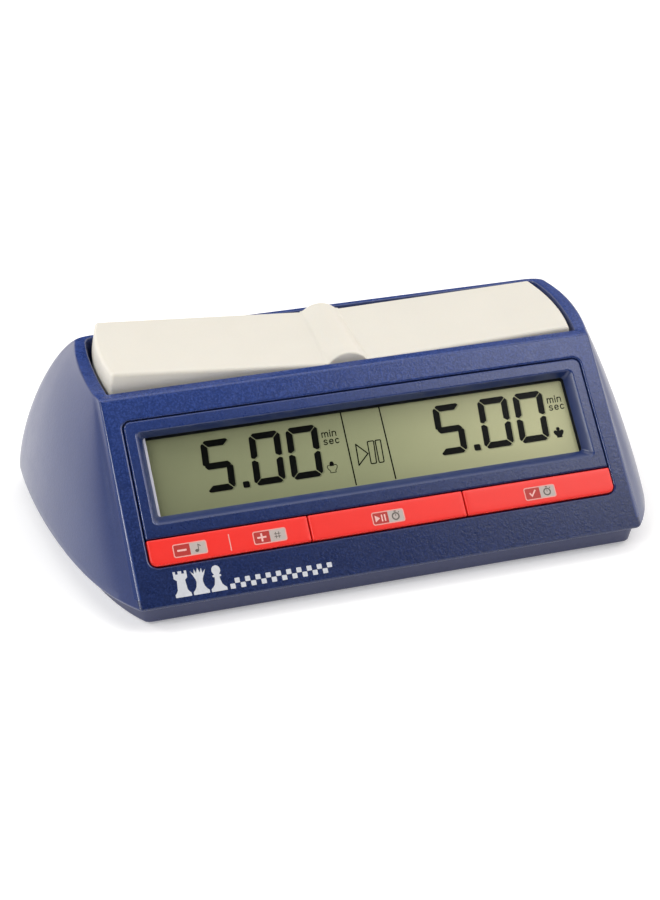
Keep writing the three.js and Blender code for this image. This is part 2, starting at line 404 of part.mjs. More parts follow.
// ---------------------------------------------------------------- battery door, power button, buzzer
let door = solid(box(-DOOR_X, DOOR_X, DOOR_Y0, DOOR_Y1, FOOT, 2.6));
door = door.add(solid(box(-DOOR_X - 1.0, DOOR_X + 1.0, DOOR_Y0, 40.6, 1.7, 2.6)));
for (let i = 0; i < 4; i++) door = door.subtract(solid(box(-9, 9, 33 + i * 2.2, 34 + i * 2.2, 0, FOOT + 0.45)));
put('battery_door', toGeo(door), BLUE2);
let pb = solid(cylZ(PB[0], PB[1], 1.0, 4.0, 3.6, 18));
pb = pb.add(solid(cylZ(PB[0], PB[1], 3.9, 4.6, 5.2, 18)));
put('power_button', toGeo(pb), GREY);
put('power_switch', box(PB[0] - 3, PB[0] + 3, PB[1] - 3, PB[1] + 3, 5.8, 8.9), BLACK);
put('power_board', box(PB[0] - 12, PB[0] + 12, PB[1] - 4.5, PB[1] + 4.5, 9.1, 10.3), BOARD);
put('buzzer', new THREE.LatheGeometry([[0, 3.8], [8.6, 3.8], [9, 4.2], [9, 7.6], [8.6, 8], [0, 8]].map(p => new THREE.Vector2(p[0], p[1])), 24).rotateX(Math.PI / 2).translate(BZ[0], BZ[1], 0), BLACK);

// ---------------------------------------------------------------- feet and casing screws
FEET.forEach(([x, y], i) => put('foot_' + ['front_left', 'front_right', 'rear_left', 'rear_right'][i],
  new THREE.LatheGeometry([[0, 0], [4.1, 0], [4.5, 0.4], [4.5, 1.9], [0, 1.9]].map(p => new THREE.Vector2(p[0], p[1])), 18).rotateX(Math.PI / 2).translate(x, y, 0), RUBBER));
SCREWS.forEach(([x, y], i) => put('casing_screw_' + ['front_left', 'front_right', 'rear_left', 'rear_right'][i],
  new THREE.LatheGeometry([[0, 1.2], [2.3, 1.2], [2.6, 1.5], [2.6, 2.9], [1.2, 2.9], [1.2, 14.6], [0, 15.4]].map(p => new THREE.Vector2(p[0], p[1])), 14).rotateX(Math.PI / 2).translate(x, y, 0), STEEL));

export default group;
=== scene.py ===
# Looks for the chess clock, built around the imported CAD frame. Metres, same frame as the CAD.
import math

import bmesh
import bpy
import numpy as np
from mathutils import Matrix, Vector
from mathutils.geometry import tessellate_polygon


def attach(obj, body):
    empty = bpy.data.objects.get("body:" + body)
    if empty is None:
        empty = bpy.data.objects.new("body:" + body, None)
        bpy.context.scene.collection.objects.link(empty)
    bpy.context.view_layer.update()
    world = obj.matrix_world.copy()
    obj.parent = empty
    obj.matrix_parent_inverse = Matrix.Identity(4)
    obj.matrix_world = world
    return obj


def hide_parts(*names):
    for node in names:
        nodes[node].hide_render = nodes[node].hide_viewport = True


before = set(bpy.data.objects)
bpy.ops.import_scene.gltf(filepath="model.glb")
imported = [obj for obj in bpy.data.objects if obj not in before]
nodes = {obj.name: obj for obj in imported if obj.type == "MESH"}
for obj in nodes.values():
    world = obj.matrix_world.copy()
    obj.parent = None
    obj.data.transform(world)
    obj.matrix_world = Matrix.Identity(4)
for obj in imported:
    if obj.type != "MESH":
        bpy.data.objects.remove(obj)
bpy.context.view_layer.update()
MM = 0.001

# ------------------------------------------------------------------ dimensions shared with the CAD, in millimetres
SLOPE = math.radians(43.73)
CA, SA = math.cos(SLOPE), math.sin(SLOPE)
FACE_Y, FACE_Z, LIP_Z = -47.6, 6.43, 5.6
CREASE_Y, CREASE_Z = -10.68, 41.75
REAR_Y, HALF_W, SIDE_Y, REAR_EXP = 47.6, 78.0, 22.3, 3.2
TOP_REAR_Y, TOP_Z = 20.9, 44.1
OPEN_U, OPEN_V0, OPEN_V1 = 58.45, 9.1, 45.35
BEZ_U, BEZ_V0, BEZ_V1 = 58.15, 16.0, 45.05
KEY_V0, KEY_V1, KEY_SPLIT = 9.4, 15.7, 19.5
SLOT_Y0, SLOT_Y1, WELL_FLOOR = -7.55, 19.4, 32.5
LEVER_HALF, LEVER_Y0, LEVER_Y1 = 58.6, -7.1, 18.3
LEVER_VEE, LEVER_REST, LEVER_BOTTOM, PIVOT_Z = 2.7, 1.9, 37.1, 36.8
FLOOR_TOP, PLINTH_TOP = 3.6, 5.3

FACE = Matrix.Translation((0, FACE_Y * MM, FACE_Z * MM)) @ Matrix.Rotation(SLOPE, 4, "X")  # (u, v, w) in metres to the row frame
COL = bpy.context.scene.collection


# ------------------------------------------------------------------ small numeric helpers
def pchip(x, y, xi):
    """Smooth curve through points that never overshoots."""
    x, y, xi = np.asarray(x, float), np.asarray(y, float), np.asarray(xi, float)
    h = np.diff(x)
    d = np.diff(y) / h
    m = np.zeros_like(y)
    for i in range(1, len(x) - 1):
        if d[i - 1] * d[i] > 0:
            w1, w2 = 2 * h[i] + h[i - 1], h[i] + 2 * h[i - 1]
            m[i] = (w1 + w2) / (w1 / d[i - 1] + w2 / d[i])
    m[0], m[-1] = d[0], d[-1]
    k = np.clip(np.searchsorted(x, xi) - 1, 0, len(h) - 1)
    t = np.clip((xi - x[k]) / h[k], 0, 1)
    return (
        (2 * t**3 - 3 * t**2 + 1) * y[k]
        + (t**3 - 2 * t**2 + t) * h[k] * m[k]
        + (-2 * t**3 + 3 * t**2) * y[k + 1]
        + (t**3 - t**2) * h[k] * m[k + 1]
    )


def smooth(a, b, x):
    t = np.clip((np.asarray(x, float) - a) / (b - a), 0, 1)
    return t * t * (3 - 2 * t)


def offset_open(p, d):
    """Moves an open curve that runs right side, front to back, inwards by d."""
    p = np.asarray(p, float)
    t = np.gradient(p[:, :2], axis=0)
    t /= np.linalg.norm(t, axis=1, keepdims=True)
    q = p.copy()
    q[:, 0] -= t[:, 1] * d
    q[:, 1] += t[:, 0] * d
    return q


def rrect(x0, x1, y0, y1, r, n=8):
    """Rounded rectangle, counter-clockwise; r is lower left, lower right, upper right, upper left."""
    if not hasattr(r, "__len__"):
        r = (r, r, r, r)
    out = []
    for (cx, cy, a0), rr in zip(
        ((x0 + r[0], y0 + r[0], 180), (x1 - r[1], y0 + r[1], 270), (x1 - r[2], y1 - r[2], 0), (x0 + r[3], y1 - r[3], 90)), r
    ):
        for j in range(n + 1):
            a = math.radians(a0 + 90 * j / n)
            out.append((cx + rr * math.cos(a), cy + rr * math.sin(a)))
    return out


def grow(x0, x1, y0, y1, r, d, n=8):
    """The same rounded rectangle moved outwards by d (inwards when negative), with the same point count."""
    rr = tuple(max(k + d, 0.02) for k in (r if hasattr(r, "__len__") else (r,) * 4))
    return rrect(x0 - d, x1 + d, y0 - d, y1 + d, rr, n)


# ------------------------------------------------------------------ mesh helpers (millimetres in, metres out)
def mesh_object(name, verts, faces, mats=(), mat_index=None, sharp=30.0, xf=None, weighted=True):
    me = bpy.data.meshes.new(name)
    me.from_pydata([(v[0] * MM, v[1] * MM, v[2] * MM) for v in verts], [], faces)
    me.validate()
    ob = bpy.data.objects.new(name, me)
    COL.objects.link(ob)
    for m in mats:
        me.materials.append(m)
    if mat_index is not None:
        me.polygons.foreach_set("material_index", mat_index)
    if xf is not None:
        me.transform(xf)
    finish_normals(ob, sharp, weighted)
    return ob


def finish_normals(ob, sharp=30.0, weighted=True):
    me = ob.data
    bm = bmesh.new()
    bm.from_mesh(me)
    bmesh.ops.remove_doubles(bm, verts=bm.verts, dist=1e-7)
    bmesh.ops.recalc_face_normals(bm, faces=bm.faces)
    bm.to_mesh(me)
    bm.free()
    me.shade_smooth()
    me.set_sharp_from_angle(angle=math.radians(sharp))
    if weighted:
        m = ob.modifiers.new("weighted", "WEIGHTED_NORMAL")
        m.mode = "FACE_AREA"
        m.weight = 50
        m.keep_sharp = True


def loops_solid(name, loops, mats=(), cap0=True, cap1=True, sharp=30.0, xf=None, bands=None, cap_mats=(0, 0)):
    """Skins a stack of closed loops of equal length. bands gives each band's material index."""
    n = len(loops[0])
    verts = [p for l in loops for p in l]
    faces, mi = [], []
    for k in range(len(loops) - 1):
        for i in range(n):
            j = (i + 1) % n
            faces.append((k * n + i, k * n + j, (k + 1) * n + j, (k + 1) * n + i))
            mi.append(bands[k] if bands else 0)
    if cap0:
        faces.append(tuple(range(n - 1, -1, -1)))
        mi.append(cap_mats[0])
    if cap1:
        b = (len(loops) - 1) * n
        faces.append(tuple(range(b, b + n)))
        mi.append(cap_mats[1])
    return mesh_object(name, verts, faces, mats, mi, sharp, xf)


def at(loop, w):
    return [(p[0], p[1], w) for p in loop]


def lathe(name, prof, x, y, seg=64, mats=(), sharp=30.0, axis="Z", xf=None):
    """Closed solid of revolution; prof is [(r, h), ...] from one end on the axis to the other."""
    verts, faces = [], []
    ids = []
    for r, h in prof:
        if r < 1e-9:
            ids.append([len(verts)])
            verts.append((0, 0, h))
        else:
            ids.append(list(range(len(verts), len(verts) + seg)))
            for i in range(seg):
                a = 2 * math.pi * i / seg
                verts.append((r * math.cos(a), r * math.sin(a), h))
    for a, b in zip(ids, ids[1:]):
        for i in range(seg):
            j = (i + 1) % seg
            if len(a) == 1 and len(b) > 1:
                faces.append((a[0], b[j], b[i]))
            elif len(b) == 1 and len(a) > 1:
                faces.append((a[i], a[j], b[0]))
            elif len(a) > 1:
                faces.append((a[i], a[j], b[j], b[i]))
    if axis == "X":
        verts = [(v[2], v[0], v[1]) for v in verts]
    verts = [(v[0] + x, v[1] + y, v[2]) for v in verts]
    return mesh_object(name, verts, faces, mats, None, sharp, xf)


def paint(ob, *mats):
    ob.data.materials.clear()
    for m in mats:
        ob.data.materials.append(m)
    ob.data.polygons.foreach_set("material_index", [0] * len(ob.data.polygons))


def boolean(ob, cutters, op="DIFFERENCE", keep=False):
    for c in cutters:
        m = ob.modifiers.new("cut", "BOOLEAN")
        m.operation = op
        m.object = c
        m.solver = "MANIFOLD" if "MANIFOLD" in [e.identifier for e in m.bl_rna.properties["solver"].enum_items] else "EXACT"
    dg = bpy.context.evaluated_depsgraph_get()
    dg.update()
    me = bpy.data.meshes.new_from_object(ob.evaluated_get(dg), depsgraph=dg)
    ob.modifiers.clear()
    old = ob.data
    ob.data = me
    bpy.data.meshes.remove(old)
    if not keep:
        for c in cutters:
            bpy.data.objects.remove(c)
    return ob


def plain(name, verts, faces):
    """A cutter: no smoothing, no modifiers."""
    me = bpy.data.meshes.new(name)
    me.from_pydata([(v[0] * MM, v[1] * MM, v[2] * MM) for v in verts], [], faces)
    ob = bpy.data.objects.new(name, me)
    COL.objects.link(ob)
    bm = bmesh.new()
    bm.from_mesh(me)
    bmesh.ops.remove_doubles(bm, verts=bm.verts, dist=1e-8)
    bmesh.ops.recalc_face_normals(bm, faces=bm.faces)
    bm.to_mesh(me)
    bm.free()
    return ob


def cut_loops(loops, xf=None):
    n = len(loops[0])
    verts = [p for l in loops for p in l]
    faces = [(k * n + i, k * n + (i + 1) % n, (k + 1) * n + (i + 1) % n, (k + 1) * n + i) for k in range(len(loops) - 1) for i in range(n)]
    faces.append(tuple(range(n - 1, -1, -1)))
    b = (len(loops) - 1) * n
    faces.append(tuple(range(b, b + n)))
    ob = plain("cutter", verts, faces)
    if xf is not None:
        ob.data.transform(xf)
    return ob


def cut_cyl(x, y, z0, z1, r, seg=48, chamfer=0.0, low_open=True):
    a = [2 * math.pi * i / seg for i in range(seg)]
    ring = lambda rr, z: [(x + rr * math.cos(t), y + rr * math.sin(t), z) for t in a]
    return cut_loops([ring(r, z0), ring(r, z1)])


def cut_box(x0, x1, y0, y1, z0, z1):
    return cut_loops([[(x0, y0, z0), (x1, y0, z0), (x1, y1, z0), (x0, y1, z0)], [(x0, y0, z1), (x1, y0, z1), (x1, y1, z1), (x0, y1, z1)]])


# ------------------------------------------------------------------ materials
class Nodes:
    """Short-hand for building a node tree."""

    def __init__(self, name):
        self.mat = bpy.data.materials.new(name)
        self.mat.use_nodes = True
        self.t = self.mat.node_tree
        self.n = self.t.nodes
        self.l = self.t.links
        self.n.clear()
        self.out = self.n.new("ShaderNodeOutputMaterial")
        self.bsdf = self.n.new("ShaderNodeBsdfPrincipled")
        self.l.new(self.bsdf.outputs[0], self.out.inputs[0])
        self.tc = self.n.new("ShaderNodeTexCoord")

    def set(self, **kw):
        for k, v in kw.items():
            self.bsdf.inputs[k.replace("_", " ")].default_value = v
        return self

    def noise(self, scale, detail=2.0, rough=0.5, vec=None, kind="ShaderNodeTexNoise"):
        n = self.n.new(kind)
        n.inputs["Scale"].default_value = scale
        if "Detail" in n.inputs:
            n.inputs["Detail"].default_value = detail
        if "Roughness" in n.inputs:
            n.inputs["Roughness"].default_value = rough
        self.l.new(vec or self.tc.outputs["Object"], n.inputs["Vector"])
        return n

    def scaled(self, sx, sy, sz, rot=(0, 0, 0)):
        m = self.n.new("ShaderNodeMapping")
        m.inputs["Scale"].default_value = (sx, sy, sz)
        m.inputs["Rotation"].default_value = rot
        self.l.new(self.tc.outputs["Object"], m.inputs["Vector"])
        return m.outputs[0]

    def ramp(self, fac, stops):
        r = self.n.new("ShaderNodeValToRGB")
        e = r.color_ramp.elements
        while len(e) > 1:
            e.remove(e[0])
        e[0].position, e[0].color = stops[0][0], (*stops[0][1][:3], 1)
        for p, c in stops[1:]:
            k = e.new(p)
            k.color = (*c[:3], 1)
        self.l.new(fac, r.inputs[0])
        return r.outputs[0]

    def maprange(self, fac, a, b, c, d):
        r = self.n.new("ShaderNodeMapRange")
        r.inputs["From Min"].default_value, r.inputs["From Max"].default_value = a, b
        r.inputs["To Min"].default_value, r.inputs["To Max"].default_value = c, d
        self.l.new(fac, r.inputs["Value"])
        return r.outputs[0]

    def mix(self, fac, a, b, mode="MIX"):
        m = self.n.new("ShaderNodeMix")
        m.data_type = "RGBA"
        m.blend_type = mode
        for sock, v in ((m.inputs[0], fac), (m.inputs[6], a), (m.inputs[7], b)):
            if isinstance(v, (int, float)):
                sock.default_value = v
            elif isinstance(v, tuple):
                sock.default_value = (*v[:3], 1)
            else:
                self.l.new(v, sock)
        return m.outputs[2]

    def math(self, op, a, b=None):
        m = self.n.new("ShaderNodeMath")
        m.operation = op
        for i, v in enumerate((a, b)):
            if v is None:
                continue
            if isinstance(v, (int, float)):
                m.inputs[i].default_value = v
            else:
                self.l.new(v, m.inputs[i])
        return m.outputs[0]

    def bump(self, height, strength, dist, prev=None):
        b = self.n.new("ShaderNodeBump")
        b.inputs["Strength"].default_value = strength
        b.inputs["Distance"].default_value = dist
        self.l.new(height, b.inputs["Height"])
        if prev is not None:
            self.l.new(prev, b.inputs["Normal"])
        self.l.new(b.outputs[0], self.bsdf.inputs["Normal"])
        return b.outputs[0]

    def to(self, out, name):
        self.l.new(out, self.bsdf.inputs[name])


def plastic(name, color, rough=0.4, grain=0.0, grain_scale=2600.0, vary=0.06, spec=0.5, coat=0.0, wave=0.15, sss=0.0, edge=0.0, spark=0.35, painted_light_by_height=None, sheen=0.0):
    """Moulded plastic: base colour with faint cloudiness, a fine spark or satin grain, slow surface waviness and uneven gloss."""
    k = Nodes(name)
    k.set(Roughness=rough, Specular_IOR_Level=spec, Coat_Weight=coat, Coat_Roughness=0.15)
    cloud = k.noise(55.0, 4.0, 0.6)
    fine = k.noise(grain_scale, 2.0, 0.6)
    dark = tuple(c * (1 - vary) for c in color)
    light = tuple(min(c * (1 + vary), 1) for c in color)
    base = k.ramp(cloud.outputs["Fac"], [(0.3, dark), (0.7, light)])
    if grain > 0:
        base = k.mix(k.maprange(fine.outputs["Fac"], 0.44, 0.64, 0.0, 0.5 * min(grain, 1) * (1 + 0.25 * spark)), base, tuple(min(c * (1 + 0.6 * spark) + 0.009 * spark, 1) for c in color))
    if painted_light_by_height:
        # painted shade low down and painted light high up: the base colour is scaled by height between (z low, share)
        # and (z high, share), metres
        sp = k.n.new("ShaderNodeSeparateXYZ")
        k.l.new(k.tc.outputs["Object"], sp.inputs[0])
        f = k.maprange(sp.outputs[2], painted_light_by_height[0], painted_light_by_height[2], painted_light_by_height[1], painted_light_by_height[3])
        hs = k.n.new("ShaderNodeVectorMath")
        hs.operation = "SCALE"
        k.l.new(base, hs.inputs[0])
        k.l.new(f, hs.inputs["Scale"])
        base = hs.outputs[0]
    # lighter colour on sharp edges: partly wear, partly a painted highlight
    if edge > 0:
        geo = k.n.new("ShaderNodeNewGeometry")
        edge_wear_and_highlight = k.maprange(geo.outputs["Pointiness"], 0.52, 0.62, 0.0, edge)
        base = k.mix(edge_wear_and_highlight, base, tuple(min(c * 1.6 + 0.02, 1) for c in color))
    k.to(base, "Base Color")
    r = k.maprange(k.noise(240.0, 3.0, 0.6).outputs["Fac"], 0.3, 0.7, rough * 0.92, rough * 1.08)
    k.to(r, "Roughness")
    prev = k.bump(k.noise(28.0, 2.0, 0.5).outputs["Fac"], wave, 0.0004)
    if grain > 0:
        cells = k.noise(grain_scale * 0.55, 2.0, 0.7)
        h = k.math("ADD", fine.outputs["Fac"], cells.outputs["Fac"])
        k.bump(h, grain, 0.00006, prev)
    if sheen > 0:
        k.set(Sheen_Weight=sheen, Sheen_Roughness=0.35, Sheen_Tint=(1.0, 0.955, 0.88, 1.0))
    if sss > 0:
        k.set(Subsurface_Weight=sss)
        k.bsdf.inputs["Subsurface Radius"].default_value = (0.0012, 0.0009, 0.0006)
        k.bsdf.inputs["Subsurface Scale"].default_value = 1.0
    return k.mat


def metal(name, color, rough=0.25, brushed=0.0, scale=900.0):
    k = Nodes(name)
    k.set(Metallic=1.0, Roughness=rough)
    n = k.noise(scale, 4.0, 0.6, k.scaled(1, 0.04, 1) if brushed else None)
    k.to(k.ramp(n.outputs["Fac"], [(0.25, tuple(c * 0.82 for c in color)), (0.75, color)]), "Base Color")
    k.to(k.maprange(n.outputs["Fac"], 0.3, 0.7, rough * 0.75, rough * 1.35), "Roughness")
    k.bump(n.outputs["Fac"], 0.25 + brushed, 0.00002)
    return k.mat


def rubber(name, color, rough=0.75):
    k = Nodes(name)
    n = k.noise(1500.0, 4.0, 0.7)
    k.to(k.ramp(k.noise(120.0, 4.0, 0.6).outputs["Fac"], [(0.3, tuple(c * 0.8 for c in color)), (0.7, tuple(c * 1.25 for c in color))]), "Base Color")
    k.to(k.maprange(n.outputs["Fac"], 0.3, 0.7, rough * 0.9, rough * 1.1), "Roughness")
    k.bump(n.outputs["Fac"], 0.5, 0.00005)
    return k.mat


BLUE = (0.0105, 0.0275, 0.125)
# the face and top get painted shade low down and painted light high up through the height scaling
M_FACE = plastic("casing_spark", BLUE, rough=0.28, spec=0.44, grain=0.52, grain_scale=2100.0, vary=0.04, wave=0.03, spark=2.5, painted_light_by_height=(0.010, 0.54, 0.042, 1.20))
M_SIDE = plastic("casing_satin", BLUE, rough=0.30, spec=0.7, grain=0.35, grain_scale=2300.0, vary=0.03, wave=0.05, spark=0.8, sheen=0.31)
# the display panel gets the same painted shade low down and painted light high up
M_BEZEL = plastic("panel_satin", (0.0108, 0.0275, 0.122), spec=0.5, rough=0.28, grain=0.4, grain_scale=2200.0, vary=0.04, wave=0.03, spark=2.0, painted_light_by_height=(0.010, 0.58, 0.042, 1.17))
M_EDGE = plastic("moulded_edge", (0.013, 0.034, 0.145), rough=0.20, spec=0.6, grain=0.1, grain_scale=2300.0, vary=0.03, wave=0.02)
M_BEVEL = plastic("panel_bevel", (0.0105, 0.026, 0.110), spec=0.6, rough=0.30, grain=0.15, grain_scale=2400.0, vary=0.04, wave=0.05)
M_PLINTH = plastic("plinth_satin", (0.026, 0.034, 0.100), rough=0.42, spec=0.6, grain=0.3, grain_scale=2300.0, vary=0.06, wave=0.08)
M_KEY = plastic("key_red", (0.86, 0.028, 0.020), rough=0.36, grain=0.15, grain_scale=2400.0, vary=0.03, wave=0.10, sss=0.08)
M_IVORY = plastic("lever_ivory", (0.675, 0.648, 0.577), rough=0.45, grain=0.12, grain_scale=2600.0, vary=0.015, wave=0.06, sss=0.12)
M_BLACK = plastic("black_moulding", (0.012, 0.012, 0.014), rough=0.5, grain=0.3, vary=0.1)
M_GREY = plastic("button_grey", (0.16, 0.17, 0.19), rough=0.45, grain=0.25, vary=0.05)
# near-black for the window's pocket walls and the band round the display: painted shade
M_BLACK_PAINTED_SHADE = plastic("black_painted_shade", (0.010, 0.011, 0.014), rough=0.42, grain=0.2, vary=0.05)
M_RUBBER = rubber("rubber_black", (0.022, 0.022, 0.024))
M_SILICONE = rubber("silicone_grey", (0.22, 0.23, 0.24), 0.6)
M_STEEL = metal("screw_steel", (0.62, 0.62, 0.63), 0.26)
M_SPRING = metal("contact_nickel", (0.72, 0.70, 0.66), 0.2, brushed=0.3)

# ------------------------------------------------------------------ outline curves of the shell
def lip_curve(n=260):
    y = FACE_Y + (SIDE_Y - FACE_Y) * np.linspace(0, 1, n)
    d = (SIDE_Y - y) / (SIDE_Y - FACE_Y)
    x = HALF_W - 11.35 * d**2 - 4.35 * d**8
    a = np.linspace(0, math.pi / 2, n)[1:]
    rx = HALF_W * np.maximum(np.cos(a), 0) ** (2 / REAR_EXP)
    ry = SIDE_Y + (REAR_Y - SIDE_Y) * np.sin(a) ** (2 / REAR_EXP)
    p = np.vstack([np.column_stack([x, y]), np.column_stack([rx, ry])])
    p[-1, 0] = 0
    return resample(p, 900)


def resample(p, n):
    s = np.concatenate([[0], np.cumsum(np.linalg.norm(np.diff(p, axis=0), axis=1))])
    keep = np.concatenate([[True], np.diff(s) > 1e-9])
    p, s = p[keep], s[keep]
    t = np.linspace(0, s[-1], n)
    return np.column_stack([np.interp(t, s, p[:, k]) for k in range(p.shape[1])])


def ztop(y):
    s = np.clip((np.asarray(y, float) + 8) / 24, 0, 1)
    return 41.7 + 2.42 * (1 - (1 - s) ** 2)


def top_curve(n=200):
    y = CREASE_Y + (18.2 - CREASE_Y) * np.linspace(0, 1, n)
    x = 64.45 - 0.0082 * (y - 4.5) ** 2
    a = np.linspace(0, math.pi / 2, 60)[1:]
    cx = 57.9 + (x[-1] - 57.9) * np.cos(a) ** 0.9
    cy = 18.2 + 2.7 * np.sin(a) ** 0.9
    p = np.vstack([np.column_stack([x, y]), np.column_stack([cx, cy]), [[0.0, TOP_REAR_Y]]])
    return resample(p, 900)


def plane_y(z):
    return FACE_Y + (z - FACE_Z) * CA / SA


LIP, TOPC = lip_curve(), top_curve()


def arc(p):
    return np.concatenate([[0], np.cumsum(np.linalg.norm(np.diff(p, axis=0), axis=1))])


def near(p, x, y):
    return int(np.argmin((p[:, 0] - x) ** 2 + (p[:, 1] - y) ** 2))


AL, AT = arc(LIP), arc(TOPC)
KL = [0, AL[near(LIP, 77.9, 16.5)], AL[near(LIP, 73.5, 40.4)], AL[-1]]
KT = [0, AT[near(TOPC, 63.4, 16.5)], AT[near(TOPC, 61.5, 20.3)], AT[-1]]
ANCH = [0, 0.45, 0.6, 1]
PS = ([0, 0.2, 0.45, 0.6, 1], [1.0, 1.19, 1.42, 1.38, 1.24])
CLIP = 0.982
CREASE_R, CORNER_R = 1.5, 0.7


def stations():
    """s values spread evenly along the outline, closer where it turns."""
    s = np.linspace(0, 1, 2001)
    a = np.interp(pchip(ANCH, KL, s), AL, AL)
    d = np.concatenate([[0], np.cumsum(np.abs(np.diff(a)) * (1 + 1.2 * np.exp(-(((s[1:] - 0.53) / 0.08) ** 2))))])
    n = 118
    return np.interp(np.linspace(0, d[-1], n), d, s)


def side_point(s, t):
    """Outer surface of the shell: s runs from the front corner to the rear middle, t from the lip to the top edge."""
    sl, st = pchip(ANCH, KL, s), pchip(ANCH, KT, s)
    P = np.column_stack([np.interp(sl, AL, LIP[:, k]) for k in (0, 1)])
    Q = np.column_stack([np.interp(st, AT, TOPC[:, k]) for k in (0, 1)])
    qz = np.where(Q[:, 1] > -7.6, ztop(Q[:, 1]), CREASE_Z)
    p = pchip(PS[0], PS[1], s)
    t = np.full_like(s, t)
    hf = lambda q: 1 - np.maximum(1 - q**p, 0) ** (1 / p)
    # the flank stops just short of running level, so it meets the top in a crease
    h = hf(t * CLIP) / hf(np.full_like(t, CLIP))
    z = FACE_Z * (1 - t) + qz * t
    x = P[:, 0] * (1 - h) + Q[:, 0] * h
    y = P[:, 1] * (1 - h) + Q[:, 1] * h
    # the first stations lie in the plane of the display face
    w = np.exp(-((s / 0.03) ** 2))
    y = y * (1 - w) + (plane_y(z) + (P[:, 1] - FACE_Y)) * w if t[0] < 1 else y
    return np.column_stack([x, y, z])


def slot_ring(s, d, z_of):
    """Edge of the lever well, moved outwards by d, paired with the outline stations."""
    out = []
    for q in s:
        if q <= 0.45:
            y = SLOT_Y0 - d + (17.6 - SLOT_Y0 + d) * q / 0.45
            x = float(np.interp(y, [-7.55, -3.1, 1.35, 5.8, 10.25, 14.7, 19.4], [60.1, 60.7, 61.0, 61.1, 61.0, 60.6, 60.0])) + d
        elif q <= 0.6:
            a = (q - 0.45) / 0.15 * math.pi / 2
            x, y = 58.3 + (1.75 + d) * math.cos(a), 17.6 + (SLOT_Y1 + d - 17.6) * math.sin(a)
        else:
            x, y = 58.3 * (1 - (q - 0.6) / 0.4), SLOT_Y1 + d
        out.append((x, y, z_of(y)))
    return np.array(out)


def shell_rings():
    s = stations()
    rings = []  # (side array, front (y, z) at the corner, corner radius)

    def add(side, fy, fz, r):
        side = side.copy()
        gap = np.concatenate([[0], np.cumsum(np.linalg.norm(np.diff(side[:, :2], axis=0), axis=1))])
        w = np.exp(-((gap / 1.6) ** 2))
        dy, dz = fy - side[0, 1], fz - side[0, 2]
        side[:, 1] += dy * w
        side[:, 2] += dz * w
        # round the front corner in plan
        c = side[0]
        k = int(np.searchsorted(gap, r))
        k = max(k, 1)
        f = (r - gap[k - 1]) / max(gap[k] - gap[k - 1], 1e-9)
        e = side[k - 1] * (1 - f) + side[k] * f
        a = c + np.array([-r, 0, 0])
        m = 6
        fil = [a * (1 - u) ** 2 + c * 2 * u * (1 - u) + e * u * u for u in np.linspace(0, 1, m + 1)]
        # always keep the same count: move the stations that fall inside the fillet just past its end
        rest = side[1:].copy()
        g = gap[1:]
        g2 = r + (g - 0) * (1 - r / (g[5] + 1e-9)) if False else g
        inside = g2 <= r + 0.25
        if inside.any():
            last = int(np.where(inside)[0][-1]) + 1
            tgt = np.linspace(r, g[last], last + 2)[1:-1]
            for i in range(last):
                q = tgt[i]
                j = int(np.searchsorted(gap, q))
                ff = (q - gap[j - 1]) / max(gap[j] - gap[j - 1], 1e-9)
                rest[i] = side[j - 1] * (1 - ff) + side[j] * ff
        half = np.vstack([fil, rest])
        mir = half[:-1][::-1] * np.array([-1, 1, 1])
        rings.append(np.vstack([half, mir]))

    # roll-under at the lip
    base = side_point(s, 0.0)
    for a in (90, 68, 45, 22):
        i, dz = 0.65 * (1 - math.cos(math.radians(a))), 0.83 * math.sin(math.radians(a))
        q = offset_open(base, i)
        q[-1, 0] = 0
        q[:, 2] -= dz
        add(q, FACE_Y + i, FACE_Z - dz, CORNER_R)
    # flank and display face
    tan = CREASE_R * math.tan(SLOPE / 2)
    t_arc = 1 - tan / 51.09
    lv = 1 - (1 - np.linspace(0, 1, 44)) ** 1.75
    lv = [t for t in lv if t < t_arc - 0.004] + [t_arc]
    for t in lv:
        q = side_point(s, t)
        add(q, plane_y(q[0, 2]), q[0, 2], CORNER_R)
    # crease between the display face and the top
    top = side_point(s, 1.0)
    edge = slot_ring(s, 0.45, lambda y: float(ztop(y)) if y > -7.6 else 41.7)

    def band(b):
        q = top * (1 - b) + edge * b
        q[:, 2] = np.where(q[:, 1] > -7.6, ztop(q[:, 1]), q[:, 2])
        return q
    foot, head = side_point(s, t_arc), band(0.13)
    for k, u in enumerate((0.2, 0.4, 0.6, 0.8, 1.0, None)):
        a = SLOPE * (k + 1) / 6
        yc, zc_ = CREASE_Y + tan, CREASE_Z - CREASE_R  # arc centre
        yy, zz = yc - CREASE_R * math.sin(SLOPE - a), zc_ + CREASE_R * math.cos(SLOPE - a)
        q = band(0.26) if u is None else foot * (1 - u) ** 2 + top * 2 * u * (1 - u) + head * u * u
        add(q, yy, zz, CORNER_R * (1 - 0.04 * k))
    for b in (0.5, 0.75, 1.0):
        q = top * (1 - b) + edge * b
        q[:, 2] = np.where(q[:, 1] > -7.6, ztop(q[:, 1]), CREASE_Z * (1 - b) + 41.7 * b)
        add(q, q[0, 1], q[0, 2], CORNER_R * 0.6)
    for a in (22, 45, 68, 90):
        d, dz = 0.45 * (1 - math.sin(math.radians(a))), 0.45 * (1 - math.cos(math.radians(a)))
        q = slot_ring(s, d, lambda y: (float(ztop(y)) if y > -7.6 else 41.7) - dz)
        add(q, q[0, 1], q[0, 2], CORNER_R * 0.6)
    for z in (38.0, WELL_FLOOR):
        q = slot_ring(s, 0, lambda y: z)
        add(q, q[0, 1], q[0, 2], CORNER_R * 0.6)
    return rings


